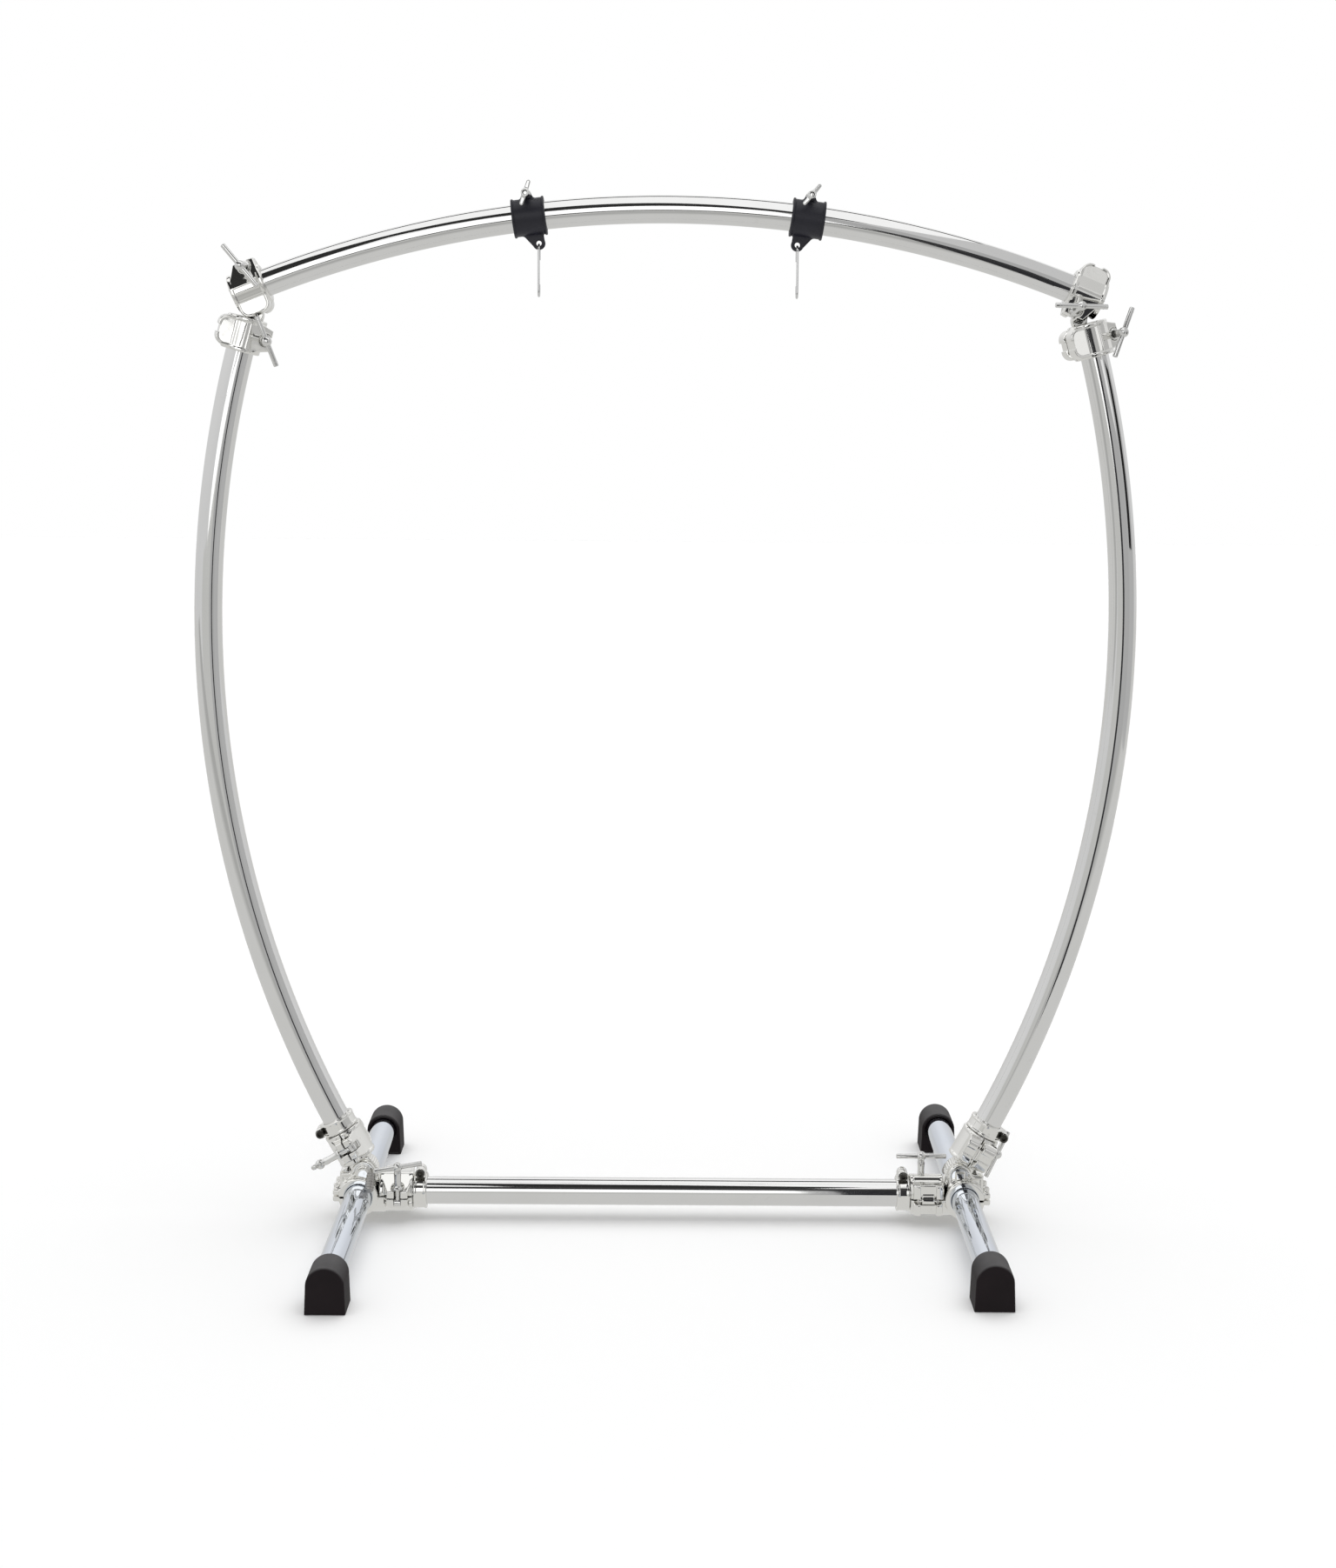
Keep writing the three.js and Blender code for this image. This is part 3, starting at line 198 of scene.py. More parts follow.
sky = bpy.data.worlds.new("sky")
bpy.context.scene.world = sky
sky.use_nodes = True
tree = Tree(sky.node_tree)
ray = tree.node("ShaderNodeLightPath")
height = tree.node("ShaderNodeSeparateXYZ", inputs={0: tree.node("ShaderNodeTexCoord")}, output=2)
wall_stops = [(0.5, (0.7,) * 3), (0.62, (0.78,) * 3), (0.8, (1.1,) * 3), (1.0, (1.1,) * 3)]
studio_wall = tree.node("ShaderNodeValToRGB", {"stops": wall_stops}, {0: height * 0.5 + 0.5})
even = tree.between(ray.beside("Is Glossy Ray"), (0.62, 0.62, 0.62, 1.0), studio_wall)
seen = tree.between(ray.beside("Is Camera Ray"), even, (1.0, 1.0, 1.0, 1.0))
back = tree.node("ShaderNodeBackground", inputs={0: seen, 1: 1.0})
tree.node("ShaderNodeOutputWorld", inputs={0: back})

overhead = bpy.data.objects.new("overhead", bpy.data.lights.new("overhead", "SUN"))
overhead.data.energy = 1.35
overhead.data.angle = math.radians(70)
overhead.rotation_euler = (math.radians(-12), math.radians(6), 0)
overhead.visible_glossy = False
bpy.context.scene.collection.objects.link(overhead)


# Leg tubes and lower bar
# Three straight lengths of 38 mm steel tube with a 1.6 mm wall, sawn, deburred and chromed.
# The legs lie along the floor and the bar crosses between them. Their chrome has a painted bluer
# reflection of the floor in its colour.
tube_radius = 19.05
tube_wall = 1.6
axis_height = 38
leg_x = 430.02
leg_slide = 21
leg_tube_length = 625.2
lower_bar_length = 801.6
stand_shift = leg_slide / 2


def chrome(name, colour, cloud, roughness=0.055, ripple=0.0, ripple_scale=160.0, grime=0.0):
    """Chrome plate: a little cloud and haze, dull spots, and the ripple of the metal under it."""
    made, tree = finish_named(name)
    place = tree.node("ShaderNodeTexCoord", output=3)
    cloudy = tree.node("ShaderNodeTexNoise", inputs={"Vector": place, "Scale": 14.0, "Detail": 3.0})
    haze = tree.node("ShaderNodeTexNoise", inputs={"Vector": place, "Scale": 420.0, "Detail": 2.0})
    spots = tree.node(
        "ShaderNodeValToRGB",
        {"stops": [(0.66, (0.0, 0.0, 0.0)), (0.74, (1.0, 1.0, 1.0))]},
        {0: tree.node("ShaderNodeTexNoise", inputs={"Vector": place, "Scale": 90.0, "Detail": 4.0})},
    )
    tint = tree.between(cloudy, (*colour, 1.0), (*cloud, 1.0))
    dulled = tree.between(spots * grime, tint, (0.42, 0.4, 0.37, 1.0))
    tone = haze * (0.5 * roughness) + cloudy * (0.6 * roughness)
    tone = tone + spots * (2.0 * grime * roughness) + 0.45 * roughness
    waves = tree.node("ShaderNodeTexNoise", inputs={"Vector": place, "Scale": ripple_scale, "Detail": 1.0})
    bumped = tree.node("ShaderNodeBump", inputs={"Strength": ripple, "Distance": 0.0004, "Height": waves})
    plate = tree.node(
        "ShaderNodeBsdfPrincipled",
        inputs={"Base Color": dulled, "Metallic": 1.0, "Roughness": tone, "Normal": bumped},
    )
    tree.node("ShaderNodeOutputMaterial", inputs={0: plate})
    return made


tube_chrome = chrome("tube_chrome", (0.83, 0.83, 0.83), (0.78, 0.78, 0.77), ripple=0.01, grime=0.05)
# The legs' bluish chrome colour is a painted reflection of the floor.
blue_reflection_chrome = chrome("blue_reflection_chrome", (0.72, 0.77, 0.86), (0.76, 0.79, 0.84), ripple=0.01, grime=0.05)

# The tree that runs a round section along a path of edges
sweep_group = bpy.data.node_groups.new("round_along_path", "GeometryNodeTree")
for label, kind in (
    ("Path", "NodeSocketGeometry"),
    ("Radius", "NodeSocketFloat"),
    ("Sides", "NodeSocketInt"),
    ("Closed Ends", "NodeSocketBool"),
    ("Groove Depth", "NodeSocketFloat"),
    ("Groove Pitch", "NodeSocketFloat"),
    ("Finish", "NodeSocketMaterial"),
):
    sweep_group.interface.new_socket(label, in_out="INPUT", socket_type=kind)
sweep_group.interface.new_socket("Piece", in_out="OUTPUT", socket_type="NodeSocketGeometry")
sweep = Tree(sweep_group)
given = sweep.node("NodeGroupInput")
line = sweep.node("GeometryNodeMeshToCurve", inputs={"Mesh": given.beside("Path")})
section = sweep.node(
    "GeometryNodeCurvePrimitiveCircle",
    inputs={"Resolution": given.beside("Sides"), "Radius": given.beside("Radius")},
)
along = sweep.node("GeometryNodeSplineParameter", output=1)
turns = sweep.node("ShaderNodeMath", {"operation": "DIVIDE"}, {0: along, 1: given.beside("Groove Pitch")})
groove = sweep.sine(turns * (2 * math.pi)) * 0.5 + 0.5
swept = sweep.node(
    "GeometryNodeCurveToMesh",
    inputs={
        "Curve": line,
        "Profile Curve": section,
        "Scale": 1.0 - groove * given.beside("Groove Depth"),
        "Fill Caps": given.beside("Closed Ends"),
    },
)
smooth = sweep.node("GeometryNodeSetShadeSmooth", inputs={"Geometry": swept})
real = sweep.node("GeometryNodeRealizeInstances", inputs={"Geometry": smooth})
coating = {"Geometry": real, "Material": given.beside("Finish")}
coated = sweep.node("GeometryNodeSetMaterial", inputs=coating)
sweep.node("NodeGroupOutput", inputs={"Piece": coated})


def outward(mesh):
    """Turn a closed mesh's faces outwards."""
    mesh.calc_loop_triangles()
    corners = np.zeros(3 * len(mesh.loop_triangles), np.int32)
    mesh.loop_triangles.foreach_get("vertices", corners)
    points = np.zeros(3 * len(mesh.vertices))
    mesh.vertices.foreach_get("co", points)
    first, second, third = points.reshape(-1, 3)[corners.reshape(-1, 3)].transpose(1, 0, 2)
    if np.einsum("ij,ij->", first, np.cross(second, third)) < 0:
        mesh.flip_normals()


def run_along(name, points, radius, finish, sides=72, wall=0.0, groove_depth=0.0, groove_pitch=1.0):
    """A tube, wire or screw thread along points given in millimetres."""
    path = bpy.data.meshes.new(name)
    places = [(x / 1000, (y + stand_shift) / 1000, z / 1000) for x, y, z in points]
    path.from_pydata(places, [(i, i + 1) for i in range(len(points) - 1)], [])
    drawn = bpy.data.objects.new(name + "_path", path)
    bpy.context.scene.collection.objects.link(drawn)
    modifier = drawn.modifiers.new("sweep", "NODES")
    modifier.node_group = sweep_group
    sizes = {
        "Radius": radius / 1000,
        "Sides": sides,
        "Closed Ends": wall == 0.0,
        "Groove Depth": groove_depth / radius,
        "Groove Pitch": groove_pitch / 1000,
        "Finish": finish,
    }
    for socket in sweep_group.interface.items_tree:
        if socket.item_type == "SOCKET" and socket.name in sizes:
            modifier[socket.identifier] = sizes[socket.name]
    if wall:
        shell = drawn.modifiers.new("wall", "SOLIDIFY")
        shell.thickness = wall / 1000
        shell.offset = -1
    evaluated = drawn.evaluated_get(bpy.context.evaluated_depsgraph_get())
    mesh = bpy.data.meshes.new_from_object(evaluated)
    bpy.data.objects.remove(drawn)
    bpy.data.meshes.remove(path)
    mesh.name = name
    outward(mesh)
    mesh.set_sharp_from_angle(angle=math.radians(40))
    piece = bpy.data.objects.new(name, mesh)
    bpy.context.scene.collection.objects.link(piece)
    return piece


def fit(piece, node, body="frame"):
    """The piece takes the place of its CAD node and moves with the same body."""
    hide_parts(node)
    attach(piece, body)


def straight_tube(name, middle, axis, length, finish):
    """A straight tube about its middle, along one axis."""
    points = []
    for share in np.linspace(-0.5, 0.5, 5):
        point = list(middle)
        point[axis] += length * share
        points.append(point)
    return run_along(name, points, tube_radius, finish, wall=tube_wall)


for side, name, slide in ((-1, "left", -leg_slide), (1, "right", 0)):
    middle = (side * leg_x, slide, axis_height)
    tube = straight_tube(name + "_leg", middle, 1, leg_tube_length, blue_reflection_chrome)
    fit(tube, name + "_leg_tube")
tube = straight_tube("cross_bar", (0, 0, axis_height), 0, lower_bar_length, tube_chrome)
fit(tube, "lower_bar")


# Uprights and top bar
# Three lengths of the same tube, rolled to one radius of 1524 mm and chromed after bending.
# The uprights stand on the base castings and lean apart; the top bar arches from one to the other.
bend_radius = 1524
widest_half_width = 636
widest_height = 846
bend_centre_x = bend_radius - widest_half_width
apex_height = 1424
top_centre_height = apex_height - bend_radius


def arc_points(centre_x, centre_z, start, end, count=140):
    """Points of the bend in the stand's plane; angles run from right to up."""
    turns = [(math.cos(angle), math.sin(angle)) for angle in np.linspace(start, end, count)]
    return [(centre_x + bend_radius * x, 0, centre_z + bend_radius * z) for x, z in turns]


upright_low = -0.518548
upright_high = 0.280545
top_bar_half = 0.399868
for side, name in ((-1, "left"), (1, "right")):
    low, high = upright_low, upright_high
    if side < 0:
        low, high = math.pi - low, math.pi - high
    points = arc_points(-side * bend_centre_x, widest_height, low, high)
    tube = run_along(name + "_side_tube", points, tube_radius, tube_chrome, wall=tube_wall)
    fit(tube, name + "_upright")
points = arc_points(0, top_centre_height, math.pi / 2 + top_bar_half, math.pi / 2 - top_bar_half)
fit(run_along("arched_bar", points, tube_radius, tube_chrome, wall=tube_wall), "top_bar")


# Rubber feet
# Four moulded rubber boots pushed over the ends of the leg tubes. Each is a blunt arch with a flat sole,
# a rounded nose and a thick lip where the tube goes in, matt black and paler on top from dust and painted
# light.
foot_half_width = 26.5
foot_top_radius = 25
foot_length = 50
foot_end_wall = 7
foot_fit = 0.35
foot_top = 63
sole_groove_half = 1.2
sole_groove_depth = 0.9
sole_groove_reach = 21
sole_groove_places = (11, 18, 25, 32, 39)
leg_length = 640


def merged(first, second, soft):
    """Distance to two solids, joined with a fillet."""
    near = np.maximum(soft - np.abs(first - second), 0.0)
    return np.minimum(first, second) - near * near / (4.0 * soft)


def carved(first, second, soft):
    """Distance to the first solid with the second taken out of it."""
    return -merged(-first, second, soft)


def shared(first, second, soft):
    """Distance to what two solids have in common."""
    return -merged(-first, -second, soft)


def extruded(outline, height, soft):
    """A flat outline's distance and a distance from its two faces, made one soft-edged plate."""
    across = outline + soft
    up = height + soft
    outside = np.hypot(np.maximum(across, 0), np.maximum(up, 0))
    return outside + np.minimum(np.maximum(across, up), 0) - soft


def block(p, low, high, soft):
    """A soft-edged block between two corners."""
    outside = [np.abs(p[i] - (low[i] + high[i]) / 2) - ((high[i] - low[i]) / 2 - soft) for i in range(3)]
    far = np.sqrt(sum(np.maximum(part, 0) ** 2 for part in outside))
    return far + np.minimum(np.maximum(np.maximum(outside[0], outside[1]), outside[2]), 0) - soft


def bar(p, axis, middle, radius, low, high, soft):
    """A soft-edged round bar along an axis."""
    first, second = [i for i in range(3) if i != axis]
    ring = np.hypot(p[first] - middle[0], p[second] - middle[1]) - radius
    return extruded(ring, np.abs(p[axis] - (low + high) / 2) - (high - low) / 2, soft)


def strap(across, up, start, end, start_radius, end_radius):
    """Flat outline round two discs and what lies between them."""
    reach = (end[0] - start[0], end[1] - start[1])
    share = (across - start[0]) * reach[0] + (up - start[1]) * reach[1]
    share = np.clip(share / (reach[0] ** 2 + reach[1] ** 2), 0, 1)
    away = np.hypot(across - start[0] - share * reach[0], up - start[1] - share * reach[1])
    return away - start_radius - share * (end_radius - start_radius)


def sampled(form, low, cells, step):
    """Distances on a grid. Blocks of cells away from the surface keep the distance of their middle."""
    size = 8
    blocks = [math.ceil((count + 1) / size) for count in cells]
    spots = np.stack(np.meshgrid(*[np.arange(count) for count in blocks], indexing="ij")).reshape(3, -1)
    origin = np.array(low)[:, None] + spots * size * step
    rough = form(origin + 0.5 * (size - 1) * step)
    near = np.abs(rough) < 0.87 * size * step + 1.0
    field = np.empty((len(rough), size, size, size))
    field[:] = rough[:, None, None, None]
    inner = np.stack(np.meshgrid(*[np.arange(size)] * 3, indexing="ij")).reshape(3, -1) * step
    points = origin[:, near][:, :, None] + inner[:, None, :]
    field[near] = form(points.reshape(3, -1)).reshape(-1, size, size, size)
    field = field.reshape(*blocks, size, size, size).transpose(0, 3, 1, 4, 2, 5)
    return field.reshape(*[count * size for count in blocks])


def moulded(form, low, high, step=0.85):
    """A closed mesh of four-sided faces on a solid's surface, from its distance."""
    low = np.array(low) - 2.0 * step
    cells = np.ceil((np.array(high) + 2.0 * step - low) / step).astype(int)
    field = sampled(form, low, cells, step)
    shape = np.array(field.shape)
    corners, places, flips = [], [], []
    for axis in range(3):
        ahead = np.take(field, range(1, shape[axis]), axis=axis)
        here = np.take(field, range(shape[axis] - 1), axis=axis)
        spots = np.stack(np.nonzero((here < 0) != (ahead < 0)))
        start, end = here[tuple(spots)], ahead[tuple(spots)]
        crossing = spots.astype(float)
        crossing[axis] += start / (start - end)
        second, third = (axis + 1) % 3, (axis + 2) % 3
        for back_second, back_third in ((1, 1), (0, 1), (0, 0), (1, 0)):
            cell = spots.copy()
            cell[second] -= back_second
            cell[third] -= back_third
            corners.append(np.ravel_multi_index(tuple(cell), tuple(shape)))
            places.append(crossing)
        flips.append(start > 0)
    index = np.unique(np.concatenate(corners), return_inverse=True)[1]
    weight = np.bincount(index)
    spread = np.concatenate(places, axis=1)
    points = np.stack([np.bincount(index, spread[i]) / weight for i in range(3)])
    points = low[:, None] + points * step
    home = points.copy()
    reach = 0.05
    for _ in range(3):
        nudges = reach * np.eye(3)[:, :, None]
        slope = np.stack([form(points + nudge) - form(points - nudge) for nudge in nudges])
        slope = slope / (2 * reach)
        points = points - slope * form(points) / np.maximum((slope**2).sum(0), 0.3)
        points = home + np.clip(points - home, -0.8 * step, 0.8 * step)
    faces, start = [], 0
    for axis in range(3):
        count = len(flips[axis])
        quad = index[start : start + 4 * count].reshape(4, count)
        start += 4 * count
        quad[:, flips[axis]] = quad[::-1, flips[axis]]
        faces.append(quad.T)
    return points.T, [np.concatenate(faces)]


def framed(origin, across, out):
    """A place: its origin and its first two directions; the third is square to both."""
    place = np.eye(4)
    place[:3, 0], place[:3, 1], place[:3, 2], place[:3, 3] = across, out, np.cross(across, out), origin
    return place


def stood(name, shape, place, finish, sharp=None):
    """A mesh of the shape, put in its place on the stand."""
    points, groups = shape
    put = (points @ place[:3, :3].T + place[:3, 3] + (0, stand_shift, 0)) / 1000
    mesh = bpy.data.meshes.new(name)
    mesh.vertices.add(len(put))
    mesh.vertices.foreach_set("co", put.ravel())
    mesh.loops.add(sum(group.size for group in groups))
    mesh.loops.foreach_set("vertex_index", np.concatenate([group.ravel() for group in groups]))
    lengths = np.concatenate([np.full(len(group), group.shape[1]) for group in groups])
    mesh.polygons.add(len(lengths))
    mesh.polygons.foreach_set("loop_start", np.concatenate(([0], np.cumsum(lengths)[:-1])))
    mesh.update(calc_edges=True)
    mesh.validate()
    mesh.materials.append(finish)
    outward(mesh)
    mesh.shade_smooth()
    if sharp:
        mesh.set_sharp_from_angle(angle=math.radians(sharp))
    piece = bpy.data.objects.new(name, mesh)
    bpy.context.scene.collection.objects.link(piece)
    return piece


def foot_form(p):
    """X across the boot, Y up from the floor, Z along the leg to the boot's nose."""
    x, y, z = p
    sides = np.abs(x) - (foot_half_width - (foot_half_width - foot_top_radius) * y / axis_height)
    dome = np.hypot(x, np.maximum(y - axis_height, 0)) - foot_top_radius
    arch = np.maximum(np.where(y > axis_height, dome, sides), -y)
    boot = extruded(arch, np.abs(z - foot_length / 2) - foot_length / 2, 2.4)
    for middle in sole_groove_places:
        low = (-sole_groove_reach, -2, middle - sole_groove_half)
        high = (sole_groove_reach, sole_groove_depth, middle + sole_groove_half)
        boot = carved(boot, block(p, low, high, 0.4), 0.5)
    socket = bar(p, 2, (0, axis_height), tube_radius + foot_fit, -20, foot_length - foot_end_wall, 1.0)
    return carved(boot, socket, 1.6)


def moulding(name, low_colour, high_colour, roughness, grain, depth, shine, dust_and_painted_top_light=None):
    """Moulded black: fine grain, cloudy tone, and on rubber a paler colour on what faces up: dust and
    painted top light.
    """
    made, tree = finish_named(name)
    place = tree.node("ShaderNodeTexCoord", output=3)
    cloudy = tree.node("ShaderNodeTexNoise", inputs={"Vector": place, "Scale": 30.0, "Detail": 4.0})
    fine = tree.node("ShaderNodeTexNoise", inputs={"Vector": place, "Scale": grain, "Detail": 3.0})
    bumped = tree.node("ShaderNodeBump", inputs={"Strength": 0.4, "Distance": depth, "Height": fine})
    colour = tree.between(cloudy, (*low_colour, 1.0), (*high_colour, 1.0))
    if dust_and_painted_top_light:
        # Faces turned up get a paler colour, partly dust and partly painted top light in place of sheen.
        facing = tree.node("ShaderNodeNewGeometry", output=1)
        up = tree.node("ShaderNodeSeparateXYZ", inputs={0: facing}, output=2)
        lying = tree.node("ShaderNodeMapRange", {"clamp": True}, {0: up, 1: 0.15, 2: 0.95})
        colour = tree.between(lying * (cloudy * 0.5 + 0.6), colour, (*dust_and_painted_top_light, 1.0))
    plate = tree.node(
        "ShaderNodeBsdfPrincipled",
        inputs={
            "Base Color": colour,
            "Roughness": fine * 0.2 + (roughness - 0.1),
            "Specular IOR Level": shine,
            "Normal": bumped,
        },
    )
    tree.node("ShaderNodeOutputMaterial", inputs={0: plate})
    return made


rubber_low, rubber_high = (0.008, 0.006, 0.007), (0.018, 0.012, 0.014)
rubber = moulding("rubber", rubber_low, rubber_high, 0.6, 900.0, 0.0002, 0.12, dust_and_painted_top_light=(0.1, 0.098, 0.1))
boot = moulded(foot_form, (-foot_half_width, 0, 0), (foot_half_width, foot_top, foot_length), 1.1)
for side, name, slide in ((-1, "left", -leg_slide), (1, "right", 0)):
    for end, where in ((-1, "front"), (1, "rear")):
        start = slide + end * (leg_length / 2 - foot_length)
        place = framed((side * leg_x, start, 0), (-end, 0, 0), (0, 0, 1))
        fit(stood(f"{name}_{where}_boot", boot, place, rubber), f"{name}_{where}_foot")


# Leg clamps
# Two chromed zinc castings, one part turned half round for the other side: a split barrel on the leg tube,
# the lower half of the bar's hinged clamp, and two cheeks that hold the upright's notched pivot.
half_clamp = 23.5
shell_radius = 27
rim_width = 5.5
bore_radius = tube_radius + 0.4
bore_end = 60
split = 0.75
bolt_offset = 29
bolt_radius = 3.9
pivot_depth = 7.5
eye_radius = 5.8
eye_width = 9.4
ear_root = 12
ear_end = 37
ear_width = 23
body_ear_depth = 12.5
cap_ear_depth = 10.5
wing_root = 9
wing_half = 22.8
wing_taper = 0.3
wing_depth = 24.5
wing_slope = 0.5
hinge = (-29.5, 0)
hinge_slope_start = 28.5
knuckle_radius = 5.4
knuckle_half = 8.8
knuckle_room = 11.3
block_reach = 38
block_length = 42
cap_block_depth = 23
body_block_depth = 20
frame_width = 3.2
bar_shift = -3.5


def rimmed(shell, p, axis, radius, half, width, soft, fillet):
    """A round shell with a rim round each end."""
    for end in (-1, 1):
        low, high = sorted((end * half, end * (half - width)))
        shell = merged(shell, bar(p, axis, (0, 0), radius, low, high, soft), fillet)
    return shell


def half_clamp_form(p, side, ear_depth, shift, radius):
    """One half of a hinged clamp: X to the swing bolt, Y to the tee nut, Z along the tube."""
    x, y, z = p[0], side * p[1], p[2]
    q = (x, y, z)
    shell = bar(q, 2, (0, 0), radius - 0.8, -half_clamp, half_clamp, 2.6)
    shell = rimmed(shell, q, 2, radius, half_clamp, rim_width, 1.7, 1.0)
    ear_top = (ear_end, split + ear_depth, shift + ear_width / 2)
    ear = block(q, (ear_root, -4, shift - ear_width / 2), ear_top, 2.2)
    out = x - wing_root
    middle = shift * np.clip(out / (ear_end - wing_root), 0, 1)
    sides = (np.abs(z - middle) - wing_half + wing_taper * out) / math.hypot(1, wing_taper)
    slope = (y - wing_depth + wing_slope * out) / math.hypot(1, wing_slope)
    wings = extruded(np.maximum(sides, np.maximum(x - ear_end, 5 - x)), np.maximum(slope, -4 - y), 1.2)
    half = merged(shell, merged(ear, wings, 0.8), 1.6)
    on_bar = shift == bar_shift
    corner = 6 if on_bar else 13
    outline = extruded(np.abs(x + block_reach / 2) - block_reach / 2, np.abs(z) - block_length / 2, corner)
    depth = cap_block_depth if side > 0 else body_block_depth
    hinge_block = extruded(outline, np.abs(y - depth / 2 + 4) - depth / 2 - 4, 1.8)
    face = extruded(outline + frame_width, np.abs(y - depth) - 0.6, 0.4)
    half = merged(half, carved(hinge_block, face, 0.8), 2.0)
    fall = (4 * (-hinge_slope_start - x) - 9.5 * (y - split)) / math.hypot(4, 9.5)
    half = carved(half, -fall, 1.2)
    half = shared(half, split - y, 0.7)
    window, opening = (11.3, -31.5) if on_bar else (5.6, -35.2)
    half = carved(half, block(q, (-bore_end, -bore_end, -window), (opening, bore_end, window), 0.6), 0.5)
    return carved(half, bar(q, 2, hinge, knuckle_radius + 0.5, -knuckle_room, knuckle_room, 0.3), 0.6)


def tube_bore(p):
    """The bore for a tube, along Z."""
    return bar(p, 2, (0, 0), bore_radius, -bore_end, bore_end, 0.2)


def clamp_body_form(p, shift=0.0, radius=shell_radius):
    """The fixed half, with the swing bolt's pivot, its slot and the hinge pin."""
    body = half_clamp_form(p, -1, body_ear_depth, shift, radius)
    body = carved(body, tube_bore(p), 1.2)
    slot = eye_width / 2 + 0.5
    slot_start = (bolt_offset - eye_radius - 0.6, -bore_end, shift - slot)
    body = carved(body, block(p, slot_start, (bore_end, bore_end, shift + slot), 0.4), 0.8)
    body = carved(body, bar(p, 2, (bolt_offset, -pivot_depth), 3.3, shift - 20, shift + 20, 0.3), 0.5)
    return merged(body, bar(p, 2, hinge, 2.1, -15, 15, 0.3), 0.3)


def clamp_cap_form(p, shift=0.0):
    """The swinging half, with its hinge knuckle, the slot for the bolt and the flat for the tee nut."""
    cap = half_clamp_form(p, 1, cap_ear_depth, shift, shell_radius)
    knuckle = bar(p, 2, hinge, knuckle_radius, -knuckle_half, knuckle_half, 0.9)
    web = block(p, (hinge[0] - 3, 0, -knuckle_half), (-22, 9, knuckle_half), 1.0)
    cap = merged(cap, merged(knuckle, web, 1.5), 0.8)
    cap = carved(cap, bar(p, 2, hinge, 2.5, -30, 30, 0.2), 0.3)
    cap = carved(cap, tube_bore(p), 1.2)
    cap = carved(cap, bar(p, 1, (bolt_offset, shift), 9.2, split + cap_ear_depth, bore_end, 0.3), 1.0)
    slot = bolt_radius + 0.7
    slot_start = (bolt_offset - slot, -bore_end, shift - slot)
    return carved(cap, block(p, slot_start, (bore_end, bore_end, shift + slot), 0.5), 1.0)


def through(place):
    """Points of a place's own frame, from the frame that holds it."""
    back = np.linalg.inv(place)
    return lambda p: back[:3, :3] @ p + back[:3, 3:]


barrel_radius = 28
barrel_half = 32
barrel_rim = 7
clamp_reach = 52.3
pivot = (6.05, 31.37)
cheek_half = 19
disc_half = 11
pinch_x = -32.5
pinch_places = (-12.5, 12.5)
bar_clamp = framed((clamp_reach, 0, 0), (0, -1, 0), (0, 0, 1))
clamp_point = (-14.804, 0, 68.973)
base_angle = -0.506278
outward_way = (-math.cos(base_angle), 0, math.sin(base_angle))
upright_clamp = framed(clamp_point, (0, -1, 0), outward_way)


def leg_clamp_form(p):
    """X to the middle of the stand, Y along the leg tube, Z up, from the leg tube's axis."""
    x, y, z = p
    barrel = bar(p, 1, (0, 0), barrel_radius - 1.0, -barrel_half, barrel_half, 2.4)
    barrel = rimmed(barrel, p, 1, barrel_radius, barrel_half, barrel_rim, 2.2, 1.4)
    outline = strap(x, z, (-1, 2), pivot, 25, 17)
    outline = merged(outline, np.maximum(np.abs(x + 15) - 12.5, np.abs(z - 12) - 19.5), 4.0)
    cheeks = extruded(outline, np.abs(y) - cheek_half, 2.6)
    room = block(p, (-19.5, -disc_half - 0.6, 8), (80, disc_half + 0.6, 80), 1.0)
    cheeks = carved(cheeks, room, 1.4)
    cheeks = carved(cheeks, extruded(outline + 4.5, np.abs(np.abs(y) - cheek_half) - 0.8, 0.4), 0.8)
    casting = merged(barrel, cheeks, 4.0)
    ears = block(p, (-37, -25, -9), (-6, 25, 9), 2.6)
    ears = carved(ears, block(p, (-60, -2.5, -20), (-31, 2.5, 20), 1.5), 2.0)
    casting = merged(casting, ears, 4.0)
    q = through(bar_clamp)(p)
    bridge = bar(q, 2, (0, 0), 30, half_clamp - 8, clamp_reach, 2.0)
    bridge = shared(bridge, q[1] + split, 1.0)
    casting = merged(casting, bridge, 3.0)
    casting = carved(casting, bar(q, 2, (0, 0), 22, -half_clamp, half_clamp + 0.8, 0.3), 0.5)
    casting = merged(casting, clamp_body_form(q, bar_shift, 29.2), 1.6)
    casting = carved(casting, bar(q, 2, (0, 0), bore_radius, -60, half_clamp + 0.8, 0.3), 0.8)
    casting = carved(casting, bar(p, 1, (0, 0), bore_radius, -90, 90, 0.2), 1.6)
    casting = carved(casting, block(p, (-60, -90, -1.3), (-tube_radius + 2, 90, 1.3), 0.3), 0.6)
    pin = bar(p, 1, pivot, 3.9, -cheek_half, cheek_half, 0.3)
    boss = bar(p, 1, pivot, 8.5, -cheek_half - 7, -cheek_half + 1, 1.4)
    boss = merged(boss, bar(p, 1, pivot, 10.4, -cheek_half - 1.6, -cheek_half + 1, 0.8), 0.8)
    corner = np.maximum(np.abs(x - pivot[0]), np.abs(z - pivot[1])) - 6
    head = extruded(corner, np.abs(y - cheek_half - 1.5) - 2.5, 0.8)
    casting = merged(merged(casting, merged(pin, boss, 0.5), 1.0), head, 0.6)
    for place in pinch_places:
        screw = bar(p, 2, (pinch_x, place), 4.6, 2, 13.5, 0.9)
        screw = carved(screw, bar(p, 2, (pinch_x, place), 2.3, 10.8, 20, 0.2), 0.4)
        casting = merged(casting, screw, 0.5)
    return casting


